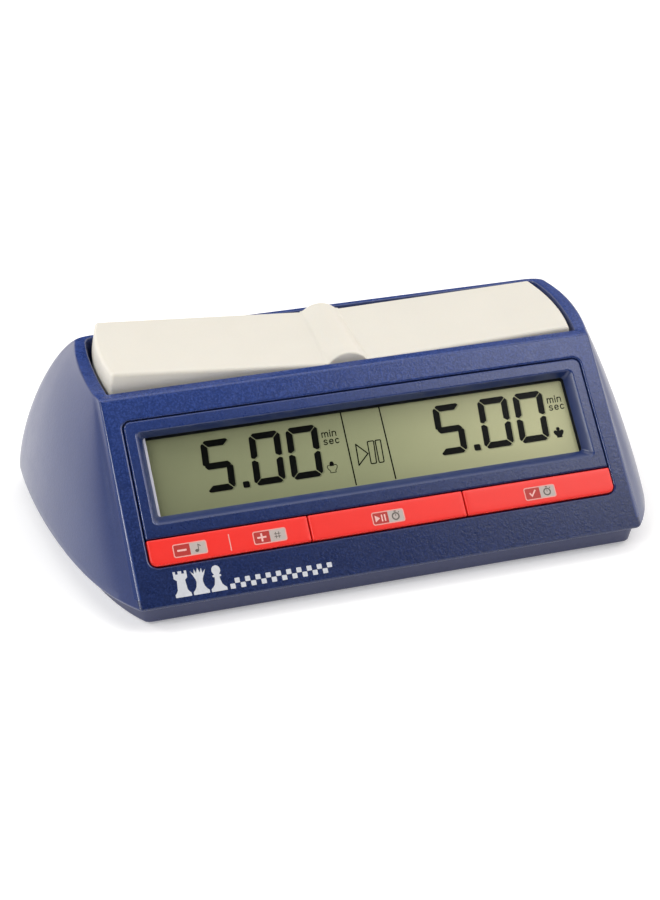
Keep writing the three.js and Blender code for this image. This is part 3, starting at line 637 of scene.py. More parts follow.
def cavity_solid():
    s = np.linspace(0, 1, 60)
    loops = []
    for t in (-0.08, 0, 0.15, 0.3, 0.45, 0.6, 0.75, 0.86, 0.93, 0.975, 1.0):
        q = side_point(s, max(t, 0.0))
        q = offset_open(q, 2.2)
        q[-1, 0] = 0
        q[0, 1] = plane_y(q[0, 2]) + 2.2 / SA
        q[:, 1] = np.maximum(q[:, 1], q[0, 1])
        q[:, 2] -= 2.2 * max(t, 0) ** 3 + (3.0 if t < 0 else 0)
        if t < 0:
            q[0, 1] = FACE_Y + 2.2 / SA
        q[0, 1] = plane_y(max(q[0, 2], FACE_Z)) + 2.2 / SA
        q[:, 0] = np.maximum(q[:, 0], 0)
        mir = q[:-1][::-1] * np.array([-1, 1, 1])
        loops.append([tuple(v) for v in np.vstack([q, mir])])
    return cut_loops(loops)


def flat_sharp(me, origin, normal, tol=2e-5):
    """Marks the border of the faces that lie in a plane as sharp, so a wide flat face shades flat beside its fillets."""
    origin, normal = Vector(origin), Vector(normal).normalized()
    bm = bmesh.new()
    bm.from_mesh(me)
    inplane = set()
    for f in bm.faces:
        if abs(f.normal.dot(normal)) > 0.99995 and abs((f.calc_center_median() - origin).dot(normal)) < tol:
            inplane.add(f.index)
    for e in bm.edges:
        n = sum(1 for f in e.link_faces if f.index in inplane)
        if n == 1:
            e.smooth = False
    bm.to_mesh(me)
    bm.free()
    return inplane


def dissolve_plane(ob, origin, normal, tol=2e-5):
    origin, normal = Vector(origin), Vector(normal).normalized()
    bm = bmesh.new()
    bm.from_mesh(ob.data)
    fs = [f for f in bm.faces if abs(f.normal.dot(normal)) > 0.9999 and abs((f.calc_center_median() - origin).dot(normal)) < tol]
    if len(fs) > 1:
        bmesh.ops.dissolve_faces(bm, faces=fs, use_verts=False)
    bm.to_mesh(ob.data)
    bm.free()


FACE_O = FACE @ Vector((0, 0, 0))
FACE_N = FACE.to_3x3() @ Vector((0, 0, 1))


def place(ob, body, name, node=None):
    ob.name = name
    ob.data.name = name
    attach(ob, body)
    if node:
        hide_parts(*(node if isinstance(node, (list, tuple)) else [node]))
    return ob


# ------------------------------------------------------------------ upper casing
rings = shell_rings()
n_ring = len(rings[0])
verts = [tuple(p) for r in rings for p in r]
faces = [(k * n_ring + i, k * n_ring + (i + 1) % n_ring, (k + 1) * n_ring + (i + 1) % n_ring, (k + 1) * n_ring + i) for k in range(len(rings) - 1) for i in range(n_ring)]
faces.append(tuple(range(n_ring - 1, -1, -1)))
faces.append(tuple(range((len(rings) - 1) * n_ring, len(rings) * n_ring)))
shell = plain("upper_shell", verts, faces)
dissolve_plane(shell, FACE_O, FACE_N)
shell.data.materials.append(M_FACE)
shell.data.materials.append(M_SIDE)
shell.data.materials.append(M_EDGE)
well = cut_box(-62.4, 62.4, SLOT_Y0 - 1.8, 22.6, 31.0, 60.0)
hollow = boolean(cavity_solid(), [well])
wf = dict(n=10)
open_r = (2.2, 2.2, 2.0, 2.0)
open_loops = []
for dd, w in [(0.0, -3.4), (0.0, -0.45), (0.034, -0.278), (0.132, -0.132), (0.278, -0.034), (0.45, 0.0), (0.8, 0.6)]:
    open_loops.append(at(grow(-OPEN_U, OPEN_U, OPEN_V0, OPEN_V1, open_r, dd, 10), w))
opening = cut_loops(open_loops, None)
opening.data.transform(Matrix.Identity(4))
opening.data.transform(FACE)
bosses = []
holes = []
for x, y in ((-63.5, -22), (63.5, -22), (-64, 24), (64, 24)):
    holes.append(cut_cyl(x, y, 8.0, 17.0, 1.55, 24))
boss_cut = [cut_cyl(x, y, 8.9, 60.0, 3.1, 32) for x, y in ((-63.5, -22), (63.5, -22), (-64, 24), (64, 24))]
hollow = boolean(hollow, boss_cut)
pin = cut_loops([[(1.6 * math.cos(a), yy, PIVOT_Z + 1.6 * math.sin(a)) for a in [2 * math.pi * i / 24 for i in range(24)]] for yy in (SLOT_Y0 - 1.5, SLOT_Y1 + 2.2)])
shell = boolean(shell, [hollow, opening, pin] + holes)
shell.data.shade_smooth()
shell.data.set_sharp_from_angle(angle=math.radians(32))
flat = flat_sharp(shell.data, FACE_O, FACE_N)
# satin flanks, textured face and top
me = shell.data
for p in me.polygons:
    n, c = p.normal, p.center
    w = (c - FACE_O).dot(FACE_N)
    on_top = c.z > 0.0405 and abs(c.x) < 0.0640 and n.z > 0.9
    p.material_index = 0 if (p.index in flat or w > -0.00045 and c.y < -0.006 or on_top) else 1
    # the rounded arrises round the display face are a little glossier, as the polished mould leaves them
    if w > -0.0009 and c.y < -0.0105 and c.z > 0.0075 and 0.25 < n.dot(FACE_N) < 0.9985 and abs(n.x) > 0.12 and p.index not in flat:
        p.material_index = 2
place(shell, "casing", "upper_casing_shell", "upper_casing")

# ------------------------------------------------------------------ lower casing
PLX = lambda y: 74.1 - 9.9 * ((SIDE_Y - y) / 66.7) ** 2 - 3.1 * ((SIDE_Y - y) / 66.7) ** 8


def plinth_curve(inset):
    y = np.linspace(-44.4, SIDE_Y, 70)
    x = PLX(y)
    a = np.linspace(0, math.pi / 2, 90)[1:]
    rx = 74.1 * np.maximum(np.cos(a), 0) ** (2 / REAR_EXP)
    ry = SIDE_Y + 21.8 * np.sin(a) ** (2 / REAR_EXP)
    front = [[58.9 + 0.0, -45.1]]
    c = np.array([[x[0], y[0]]])
    k = np.linspace(0, 1, 7)[:-1, None]
    p0, p1, p2 = np.array([[59.3, -45.1]]), np.array([[60.6, -45.1]]), c
    fil = p0 * (1 - k) ** 2 + p1 * 2 * k * (1 - k) + p2 * k * k
    p = np.vstack([fil, np.column_stack([x, y]), np.column_stack([rx, ry])])
    p = resample(p, 420)
    q = offset_open(p, inset)
    q[0, 0], q[0, 1] = p[0, 0], p[0, 1] + inset
    q[-1, 0] = 0
    return resample(q, 190)


def plinth_ring(inset, z):
    q = plinth_curve(inset)
    mir = q[:-1][::-1] * np.array([-1, 1])
    return [(v[0], v[1], z) for v in np.vstack([q, mir])]


pl = [plinth_ring(i, z) for i, z in ((0.95, 0.6), (0.55, 0.66), (0.24, 0.85), (0.06, 1.15), (0.0, 1.5), (-0.22, 2.5), (-0.45, 3.4), (-0.68, 4.4), (-0.9, 5.3))]
lower = cut_loops(pl)
inner = cut_loops([plinth_ring(2.4, FLOOR_TOP), plinth_ring(1.6, PLINTH_TOP + 1)])
bay = cut_box(-31.0, 31.0, 5.0, 38.5, 3.1, 15.5)
posts = [cut_cyl(x, y, 3.1, 8.6, 3.6, 40) for x, y in ((-63.5, -22), (63.5, -22), (-64, 24), (64, 24))]
posts += [cut_cyl(-45 + d, -8, 3.1, 9.0, 1.8, 28) for d in (-9, 9)]
lower = boolean(lower, [inner])
lower = boolean(lower, [bay] + posts, "UNION")
cuts = [cut_box(-BX, BX, 6.5, 37.0, 2.5, 20.0) for BX in (29.5,)]


def counterbore(x, y, r, depth, soft=0.25, z0=0.6):
    a = [2 * math.pi * i / 48 for i in range(48)]
    ring = lambda rr, z: [(x + rr * math.cos(t), y + rr * math.sin(t), z) for t in a]
    return cut_loops([ring(r + soft + 0.4, z0 - 0.4), ring(r + soft, z0), ring(r + soft * 0.3, z0 + soft * 0.3), ring(r, z0 + soft), ring(r, depth)])


for x, y in ((-63.5, -22), (63.5, -22), (-64, 24), (64, 24)):
    cuts += [counterbore(x, y, 3.0, 3.2), cut_cyl(x, y, 3.0, 9.0, 1.6, 32)]
for x, y in ((-55, -35.5), (55, -35.5), (-56, 35), (56, 35)):
    cuts.append(counterbore(x, y, 4.85, 2.2))
cuts.append(counterbore(-45, -8, 3.95, 6.0, 0.4))
for dx, dy in ((0, 0), (3.5, 0), (-3.5, 0), (0, 3.5), (0, -3.5)):
    cuts.append(counterbore(46 + dx, -6 + dy, 0.8, 5.0, 0.2))
cuts.append(cut_loops([at(grow(-30.3, 30.3, 5.2, 60, (1.2, 1.2, 0.3, 0.3), 0.5, 6), 0.1), at(grow(-30.3, 30.3, 5.2, 60, (1.2, 1.2, 0.3, 0.3), 0.25, 6), 0.6), at(grow(-30.3, 30.3, 5.2, 60, (1.2, 1.2, 0.3, 0.3), 0.0, 6), 0.85), at(grow(-30.3, 30.3, 5.2, 60, (1.2, 1.2, 0.3, 0.3), 0.0, 6), 2.9)]))
cuts.append(cut_box(-31.3, 31.3, 5.2, 60, 1.4, 2.9))
lower = boolean(lower, cuts)
paint(lower, M_PLINTH)
lower.data.shade_smooth()
lower.data.set_sharp_from_angle(angle=math.radians(28))
flat_sharp(lower.data, (0, 0, 0.6 * MM), (0, 0, 1))
flat_sharp(lower.data, (0, 0, FLOOR_TOP * MM), (0, 0, 1))
place(lower, "casing", "lower_casing_plinth", "lower_casing")

# ------------------------------------------------------------------ display panel
BR = (0.45, 0.45, 1.8, 1.8)
N8 = 8


def window(t, d=0.0):
    """Bevelled window opening at depth share t, grown by d."""
    x0, x1, y0, y1 = -55.5 + 1.8 * t, 55.5 - 1.8 * t, 19.35 + 2.4 * t, 42.2 - 0.9 * t
    return x0 - d, x1 + d, y0 - d, y1 + d


def rect_loop(x0, x1, y0, y1, r, w):
    return at(rrect(x0, x1, y0, y1, (r,) * 4, N8), w)


def fillet_out(x0, x1, y0, y1, r, rad, w_top, steps=5):
    """Loops that round the outer upper edge of a plate, from the wall up to the top face."""
    out = []
    for i in range(steps + 1):
        a = math.pi / 2 * i / steps
        out.append(at(grow(x0, x1, y0, y1, r, -rad * (1 - math.cos(a)), N8), w_top - rad + rad * math.sin(a)))
    return out


bz_out = [at(grow(-59.5, 59.5, 17.5, 46.3, (0.5,) * 4, 0, N8), -4.0), at(grow(-59.5, 59.5, 17.5, 46.3, (0.5,) * 4, 0, N8), -2.5), at(grow(-BEZ_U, BEZ_U, BEZ_V0 + 1.0, BEZ_V1, (0.45, 0.45, 1.8, 1.8), 0, N8), -2.49), at(grow(-BEZ_U, BEZ_U, BEZ_V0, BEZ_V1, BR, 0, N8), -2.0)]
bz_out += fillet_out(-BEZ_U, BEZ_U, BEZ_V0, BEZ_V1, BR, 0.44, 0.0)
bz_in = []
for t, r, dr, w in ((0.0, 1.25, 0.30, 0.0), (0.0, 1.2, 0.17, -0.03), (0.0, 1.15, 0.07, -0.09), (0.04, 1.1, 0.02, -0.19), (0.1, 1.05, 0.0, -0.263), (0.955, 0.8, 0.0, -2.512), (1.0, 0.8, 0.03, -2.63)):
    x0, x1, y0, y1 = window(t, dr)
    bz_in.append(rect_loop(x0, x1, y0, y1, r, w))
x0, x1, y0, y1 = window(1.0)
bz_in.append(rect_loop(x0 - 0.03, x1 + 0.03, y0 - 0.03, y1 + 0.03, 0.8, -2.75))
bz_in.append(rect_loop(-54.8, 54.8, 19.6, 43.0, 0.3, -2.78))
bz_in.append(rect_loop(-54.8, 54.8, 19.6, 43.0, 0.3, -4.0))
loops = bz_out + bz_in
nb = len(loops[0])
vv = [p for l in loops for p in l]
ff, mi = [], []
for k in range(len(loops) - 1):
    for i in range(nb):
        j = (i + 1) % nb
        ff.append((k * nb + i, k * nb + j, (k + 1) * nb + j, (k + 1) * nb + i))
        # the pocket walls below the bevel take the near-black material: painted shade
        mi.append(0 if k < len(bz_out) + 3 else (1 if k < len(bz_out) + 6 else 2))
for i in range(nb):
    j = (i + 1) % nb
    a, b = (len(loops) - 1) * nb, 0
    ff.append((a + i, a + j, b + j, b + i))
    mi.append(0)
bezel = mesh_object("display_bezel_panel", vv, ff, (M_BEZEL, M_BEVEL, M_BLACK_PAINTED_SHADE, M_EDGE), mi, 26.0, FACE, weighted=False)
for p in bezel.data.polygons:
    if p.material_index == 0 and 0.25 < p.normal.dot(FACE_N) < 0.9985 and abs(p.normal.x) > 0.12:
        p.material_index = 3
flat_sharp(bezel.data, FACE_O, FACE_N)
place(bezel, "casing", "display_bezel_panel", "display_bezel")

# ------------------------------------------------------------------ thin printed shapes
def prism(polys, w0, w1, name, mat, xf=None, sharp=20.0):
    """Closed thin solids from flat outlines; each item is an outline, or (outline, [holes])."""
    verts, faces = [], []
    for item in polys:
        outer, holes_ = item if isinstance(item, tuple) else (item, [])
        ringsx = [outer] + list(holes_)
        tri = tessellate_polygon([[Vector((p[0], p[1], 0)) for p in r] for r in ringsx])
        flat_pts = [p for r in ringsx for p in r]
        b = len(verts)
        m = len(flat_pts)
        verts += [(p[0], p[1], w0) for p in flat_pts] + [(p[0], p[1], w1) for p in flat_pts]
        for t in tri:
            faces.append((b + t[2], b + t[1], b + t[0]))
            faces.append((b + m + t[0], b + m + t[1], b + m + t[2]))
        o = b
        for r in ringsx:
            k = len(r)
            for i in range(k):
                j = (i + 1) % k
                faces.append((o + i, o + j, o + m + j, o + m + i))
            o += k
    return mesh_object(name, verts, faces, (mat,), None, sharp, xf, weighted=False)


def circle(cx, cy, r, n=28, ry=None):
    return [(cx + r * math.cos(2 * math.pi * i / n), cy + (ry or r) * math.sin(2 * math.pi * i / n)) for i in range(n)]


def rect(x0, x1, y0, y1):
    return [(x0, y0), (x1, y0), (x1, y1), (x0, y1)]


def ink(name, color, rough=0.45, spec=0.5):
    k = Nodes(name)
    k.set(Specular_IOR_Level=spec)
    n = k.noise(1800.0, 3.0, 0.6)
    k.to(k.ramp(n.outputs["Fac"], [(0.3, tuple(c * 0.92 for c in color)), (0.7, color)]), "Base Color")
    k.to(k.maprange(n.outputs["Fac"], 0.3, 0.7, rough * 0.9, rough * 1.1), "Roughness")
    k.bump(n.outputs["Fac"], 0.1, 0.00002)
    return k.mat


I_WHITE = ink("print_pale", (0.86, 0.50, 0.46))
I_LINE = ink("print_outline", (0.80, 0.36, 0.32))
I_GREY = ink("print_grey", (0.50, 0.43, 0.40))
I_DARK = ink("print_dark", (0.115, 0.10, 0.085))
I_RED = ink("print_red_dark", (0.46, 0.030, 0.024))
I_LOGO = ink("print_silver", (0.62, 0.64, 0.68), 0.3)

# ------------------------------------------------------------------ keys
KEY_TOP = 0.43


def key_body(name, node, body, u0, u1, r, fl, stems):
    rr = tuple(r)
    loops = [at(grow(u0, u1, 8.1, 16.9, (0.25,) * 4, 0, N8), fl - 1.0), at(grow(u0, u1, 8.1, 16.9, (0.25,) * 4, 0, N8), fl)]
    loops += [at(grow(u0, u1, KEY_V0, KEY_V1, rr, 0, N8), fl + 0.001)]
    loops += fillet_out(u0, u1, KEY_V0, KEY_V1, rr, 0.42, KEY_TOP - 0.02)
    loops += [at(grow(u0, u1, KEY_V0, KEY_V1, rr, -0.9, N8), KEY_TOP - 0.004), at(grow(u0, u1, KEY_V0, KEY_V1, rr, -1.5, N8), KEY_TOP)]
    ob = cut_loops(loops)
    st = [cut_box(s - 2.5, s + 2.5, 10.6, 14.6, -5.4, fl - 0.5) for s in stems]
    ob = boolean(ob, st, "UNION")
    paint(ob, M_KEY)
    ob.data.transform(FACE)
    ob.data.shade_smooth()
    ob.data.set_sharp_from_angle(angle=math.radians(40))
    m = ob.modifiers.new("weighted", "WEIGHTED_NORMAL")
    m.keep_sharp = True
    place(ob, body, name, node)
    return ob


RC, RS = 1.75, 0.3
key_body("key_minus_plus", "minus_plus_key", "minus_plus", -BEZ_U, -KEY_SPLIT - 0.15, (RC, RS, RS, RS), -2.9, (-48.4, -29.2))
key_body("key_start_pause", "start_pause_key", "start_pause", -KEY_SPLIT + 0.15, KEY_SPLIT - 0.15, (RS, RS, RS, RS), -2.6, (-12, 12))
key_body("key_confirm", "confirm_key", "confirm", KEY_SPLIT + 0.15, BEZ_U, (RS, RC, RS, RS), -2.6, (29.2, 48.4))

W0, W1, W2 = KEY_TOP - 0.02, KEY_TOP + 0.012, KEY_TOP + 0.022


def stopwatch(cx, cy, r):
    ring = (circle(cx, cy, r, 28), [circle(cx, cy, r * 0.66, 28)])
    return [ring, rect(cx - r * 0.28, cx + r * 0.28, cy + r * 1.12, cy + r * 1.42), rect(cx - 0.06 * r, cx + 0.12 * r, cy - 0.02 * r, cy + 0.55 * r), [(cx + r * 0.85, cy + r * 0.75), (cx + r * 1.1, cy + r * 1.0), (cx + r * 0.95, cy + r * 1.15), (cx + r * 0.7, cy + r * 0.9)]]


def icon(tag, body, uc, left, right):
    """Two-part printed field: dark red on the left, pale grey on the right, thin pale outline."""
    u0, u1, v0, v1 = uc - 4.05, uc + 4.05, VM - 1.62, VM + 1.62
    outer, inner_ = rrect(u0, u1, v0, v1, (0.55,) * 4, 6), rrect(u0 + 0.26, u1 - 0.26, v0 + 0.26, v1 - 0.26, (0.34,) * 4, 6)
    place(prism([(outer, [inner_])], W0, W1, "o", I_LINE, FACE), body, tag + "_frame")
    lh = rrect(u0 + 0.28, uc - 0.02, v0 + 0.28, v1 - 0.28, (0.32, 0.03, 0.03, 0.32), 6)
    rh = rrect(uc, u1 - 0.24, v0 + 0.24, v1 - 0.24, (0.03, 0.34, 0.34, 0.03), 6)
    place(prism([lh], W0, W1 - 0.004, "l", I_RED, FACE), body, tag + "_left_field")
    place(prism([rh], W0, W1 - 0.004, "r", I_GREY, FACE), body, tag + "_right_field")
    place(prism(left(uc - 1.95), W0, W2, "s", I_WHITE, FACE), body, tag + "_left_sign")
    place(prism(right(uc + 1.85), W0, W2, "t", I_DARK, FACE), body, tag + "_right_sign")


VM = 12.2
minus = lambda c: [rrect(c - 1.1, c + 1.1, VM - 0.22, VM + 0.22, (0.08,) * 4, 2)]
plus = lambda c: [[(c - 1.1, VM - 0.21), (c - 0.21, VM - 0.21), (c - 0.21, VM - 1.0), (c + 0.21, VM - 1.0), (c + 0.21, VM - 0.21), (c + 1.1, VM - 0.21), (c + 1.1, VM + 0.21), (c + 0.21, VM + 0.21), (c + 0.21, VM + 1.0), (c - 0.21, VM + 1.0), (c - 0.21, VM + 0.21), (c - 1.1, VM + 0.21)]]
note = lambda c: [circle(c - 0.30, VM - 0.62, 0.46, 20, 0.36), [(c + 0.02, VM - 0.6), (c + 0.20, VM - 0.6), (c + 0.20, VM + 0.62), (c + 0.72, VM + 0.30), (c + 0.72, VM + 0.55), (c + 0.02, VM + 1.02)]]
grid = lambda c: [rect(c - 0.8, c + 0.8, VM + 0.26, VM + 0.42), rect(c - 0.8, c + 0.8, VM - 0.42, VM - 0.26), rect(c - 0.44, c - 0.28, VM - 0.26, VM + 0.26), rect(c + 0.28, c + 0.44, VM - 0.26, VM + 0.26), rect(c - 0.44, c - 0.28, VM + 0.42, VM + 0.8), rect(c + 0.28, c + 0.44, VM + 0.42, VM + 0.8), rect(c - 0.44, c - 0.28, VM - 0.8, VM - 0.42), rect(c + 0.28, c + 0.44, VM - 0.8, VM - 0.42)]
playpause = lambda c: [[(c - 1.35, VM - 0.85), (c - 0.1, VM), (c - 1.35, VM + 0.85)], rect(c + 0.2, c + 0.55, VM - 0.85, VM + 0.85), rect(c + 0.95, c + 1.3, VM - 0.85, VM + 0.85)]
check = lambda c: [[(c - 0.85, VM + 0.12), (c - 0.22, VM - 0.9), (c + 1.0, VM + 0.72), (c + 0.72, VM + 0.95), (c - 0.2, VM - 0.32), (c - 0.58, VM + 0.3)]]
icon("icon_minus", "minus_plus", -48.5, minus, note)
icon("icon_plus", "minus_plus", -29.35, plus, grid)
icon("icon_start", "start_pause", -0.1, playpause, lambda c: stopwatch(c, VM - 0.08, 0.98))
icon("icon_confirm", "confirm", 38.9, check, lambda c: stopwatch(c, VM - 0.08, 0.98))
place(prism([rect(-39.12, -38.86, 10.2, 14.25)], W0, W1, "d", I_LINE, FACE), "minus_plus", "key_divider_line")

# ------------------------------------------------------------------ printed sign at the lower left of the face
PAWN = [(3.2, 0), (3.2, 1.1), (2.4, 1.7), (1.55, 2.6), (1.15, 4.2), (1.0, 5.3), (1.75, 5.6), (1.75, 6.1), (1.15, 6.35)] + [(1.8 * math.cos(a), 8.0 + 1.8 * math.sin(a)) for a in [math.radians(-50 + 140 * i / 13) for i in range(14)]]
ROOK = [(3.2, 0), (3.2, 1.1), (2.5, 1.8), (1.95, 2.7), (1.65, 6.2), (2.7, 7.0), (2.7, 9.6), (1.75, 9.6), (1.75, 8.55), (0.75, 8.55), (0.75, 9.6), (0, 9.6)]
QUEEN = [(3.2, 0), (3.2, 1.1), (2.4, 1.8), (1.7, 2.8), (1.3, 4.6), (1.45, 5.6), (3.1, 9.0), (1.75, 7.7), (1.45, 9.6), (0.75, 7.9), (0, 9.9)]


def chess_sign(half, cx, y0, h, wide=1.0):
    k = h / 10.0
    pts = [(cx + x * k * wide, y0 + y * k) for x, y in half] + [(cx - x * k * wide, y0 + y * k) for x, y in half[::-1] if x > 0]
    return pts


squares = []
n_sq = 20
for i in range(n_sq):
    for j in range(2):
        if (i + j) % 2 == 0:
            a = -40.9 + i * 1.24
            squares.append(rrect(a, a + 1.2, 1.35 + j * 1.24, 1.35 + j * 1.24 + 1.2, (0.12,) * 4, 2))
signs = [chess_sign(ROOK, -52.0, 1.35, 6.4, 0.92), chess_sign(QUEEN, -47.75, 1.35, 6.4, 0.92), chess_sign(PAWN, -43.55, 1.35, 6.3, 0.92)]
place(prism(signs + squares, -0.01, 0.015, "sign", I_LOGO, FACE), "casing", "printed_chess_sign")

# ------------------------------------------------------------------ window pane and display
k = Nodes("window_clear")
k.n.remove(k.bsdf)
gl, tr, mx, fr = k.n.new("ShaderNodeBsdfGlossy"), k.n.new("ShaderNodeBsdfTransparent"), k.n.new("ShaderNodeMixShader"), k.n.new("ShaderNodeFresnel")
gl.inputs["Roughness"].default_value = 0.22
gl.inputs["Color"].default_value = (1, 1, 1, 1)
tr.inputs["Color"].default_value = (0.97, 0.98, 0.97, 1)
fr.inputs["IOR"].default_value = 1.36
nz = k.noise(60.0, 2.0, 0.5)
bp = k.n.new("ShaderNodeBump")
bp.inputs["Strength"].default_value = 0.03
bp.inputs["Distance"].default_value = 0.0003
k.l.new(nz.outputs["Fac"], bp.inputs["Height"])
k.l.new(bp.outputs[0], gl.inputs["Normal"])
k.l.new(k.math("MULTIPLY", fr.outputs[0], 0.08), mx.inputs[0])
k.l.new(tr.outputs[0], mx.inputs[1])
k.l.new(gl.outputs[0], mx.inputs[2])
k.l.new(mx.outputs[0], k.out.inputs[0])
M_LENS = k.mat

# display colours, darker at the left and lighter at the right: painted shade and painted light across the display
LCD_LEFT_PAINTED_SHADE = (0.228, 0.237, 0.138)
LCD_RIGHT_PAINTED_LIGHT = (0.63, 0.605, 0.365)
k = Nodes("lcd_reflective")
k.set(Roughness=0.4, Specular_IOR_Level=0.2)
sep = k.n.new("ShaderNodeSeparateXYZ")
k.l.new(k.tc.outputs["Object"], sep.inputs[0])
# colour ramp across the display from left to right: painted shade on the left, painted light on the right, with a fine
# mottle added
painted_light_across = k.maprange(sep.outputs[0], -0.055, 0.055, 0.0, 1.0)
spark = k.noise(3200.0, 2.0, 0.7)
painted_light_across = k.math("ADD", painted_light_across, k.math("MULTIPLY", k.math("SUBTRACT", spark.outputs["Fac"], 0.5), 0.10))
k.to(k.ramp(painted_light_across, [(0.0, LCD_LEFT_PAINTED_SHADE), (0.5, (0.334, 0.342, 0.197)), (1.0, LCD_RIGHT_PAINTED_LIGHT)]), "Base Color")
k.bump(spark.outputs["Fac"], 0.12, 0.00003)
M_LCD = k.mat
M_SEG = ink("lcd_segment", (0.0015, 0.0018, 0.0015), 0.6, 0.05)
# dark see-through copies of the digits: painted shadow of the segments on the display's rear reflector
k = Nodes("lcd_painted_digit_shadow")
k.set(Roughness=0.5, Alpha=0.22, Specular_IOR_Level=0.1)
n_ = k.noise(1500.0, 2.0, 0.5)
k.to(k.ramp(n_.outputs["Fac"], [(0.3, (0.035, 0.036, 0.026)), (0.7, (0.045, 0.046, 0.033))]), "Base Color")
M_PAINTED_DIGIT_SHADOW = k.mat
k = Nodes("lcd_edge")
k.set(Roughness=0.2)
n_ = k.noise(300.0, 2.0, 0.5)
k.to(k.ramp(n_.outputs["Fac"], [(0.3, (0.28, 0.30, 0.27)), (0.7, (0.34, 0.36, 0.33))]), "Base Color")
M_LCDEDGE = k.mat


def slab(name, x0, x1, y0, y1, w0, w1, r, rad, mats, cap=0):
    lo = [at(grow(x0, x1, y0, y1, (r,) * 4, -rad * (1 - math.cos(a)), N8), w0 + rad - rad * math.sin(a)) for a in (math.pi / 2, math.pi / 4, 0)]
    hi = fillet_out(x0, x1, y0, y1, (r,) * 4, rad, w1, 2)
    return loops_solid(name, lo + hi, mats, sharp=20.0, xf=FACE, cap_mats=(cap, cap))


lens = slab("display_lens_pane", -54.5, 54.5, 19.9, 42.7, -3.8, -3.0, 0.4, 0.08, (M_LENS,))
place(lens, "casing", "display_lens_pane", "display_lens")
lcd = slab("lcd_panel", -54.5, 54.5, 19.9, 42.7, -6.1, -4.1, 0.3, 0.06, (M_LCDEDGE, M_LCD), cap=1)
place(lcd, "casing", "lcd_panel", "lcd_glass")

# light grey strip along the left inside of the window only: painted light on the left inner slope of the window
M_LEFT_WINDOW_PAINTED_LIGHT = plastic("window_left_painted_light", (0.60, 0.60, 0.69), rough=0.4, grain=0.2, vary=0.05)
strip = loops_solid("window_left_painted_light_strip", [at(rrect(-54.2, -53.22 - k_, 21.5 + k_, 41.45 - k_, (0.2,) * 4, 3), w) for k_, w in ((0.0, -2.98), (0.0, -2.6), (0.05, -2.52), (0.14, -2.48))], (M_LEFT_WINDOW_PAINTED_LIGHT,), sharp=30.0, xf=FACE)
place(strip, "casing", "window_left_painted_light_strip")

SHU, SHV = 0.42, 0.43  # the display lies this much deeper than the lower rim of the window


def bevel_bar(p, q, th, c0, c1, cut):
    """A bar from p to q, th thick, its ends cut at 45 degrees on the sides named in cut; soft corners."""
    dx, dy = q[0] - p[0], q[1] - p[1]
    ln = math.hypot(dx, dy)
    ux, uy = dx / ln, dy / ln
    nx, ny = -uy, ux
    def P(a, b):
        return (p[0] + ux * a + nx * b, p[1] + uy * a + ny * b)
    h = th / 2
    pts = []
    # along the right-hand side (b = -h), then back along the left-hand side (b = +h)
    k0r, k0l = cut[0]
    k1r, k1l = cut[1]
    pts.append(P(c0 * k0r, -h))
    pts.append(P(ln - c1 * k1r, -h))
    if k1r and k1l:
        pts.append(P(ln, 0.0))
    pts.append(P(ln - c1 * k1l, h))
    pts.append(P(c0 * k0l, h))
    if k0r and k0l:
        pts.append(P(0.0, 0.0))
    return soften(pts, 0.16)


def soften(pts, r, n=3):
    out = []
    m = len(pts)
    for i in range(m):
        a, b, c = Vector(pts[i - 1]), Vector(pts[i]), Vector(pts[(i + 1) % m])
        d0, d1 = (a - b), (c - b)
        f = min(r, d0.length * 0.45, d1.length * 0.45)
        e, g = b + d0.normalized() * f, b + d1.normalized() * f
        for k_ in range(n + 1):
            t = k_ / n
            w = e * (1 - t) ** 2 + b * 2 * t * (1 - t) + g * t * t
            out.append((w.x, w.y))
    return out


def digit(xl, xr, y0, y1, on, th=1.62, slant=0.075, cut=1.05, g=0.15):
    """Seven-segment figure with cut corners: xl and xr are the outer edges at mid height, y0 and y1 the outer edges below and above."""
    ym, h = (y0 + y1) / 2, th / 2
    S = lambda pts: [(x + slant * (y - ym), y) for x, y in pts]
    p, q = (cut + g) / 2, (cut - g) / 2
    out = []
    for tag, ye, sg in (("a", y1, -1), ("d", y0, 1)):
        if tag in on:
            pts = [(xl + cut, ye), (xl + p, ye + sg * q), (xl + th + g, ye + sg * th), (xr - th - g, ye + sg * th), (xr - p, ye + sg * q), (xr - cut, ye)]
            out.append(S(soften(pts, 0.14)))
    if "g" in on:
        e = 0.42
        pts = [(xl + e, ym), (xl + e + h * 0.9, ym + h), (xr - e - h * 0.9, ym + h), (xr - e, ym), (xr - e - h * 0.9, ym - h), (xl + e + h * 0.9, ym - h)]
        out.append(S(soften(pts, 0.14)))
    for tag, x, ye, sy, sx in (("f", xl, y1, -1, 1), ("b", xr, y1, -1, -1), ("e", xl, y0, 1, 1), ("c", xr, y0, 1, -1)):
        if tag in on:
            m = ym - sy * 0.16
            pts = [(x, ye + sy * cut), (x + sx * q, ye + sy * p), (x + sx * th, ye + sy * (th + g)), (x + sx * th, m - sy * h * 0.75), (x + sx * h * 0.9, m), (x, m - sy * h * 0.35)]
            out.append(S(soften(pts, 0.14)))
    return out


def ccw(p):
    a = sum(p[i - 1][0] * p[i][1] - p[i][0] * p[i - 1][1] for i in range(len(p)))
    return p if a > 0 else p[::-1]


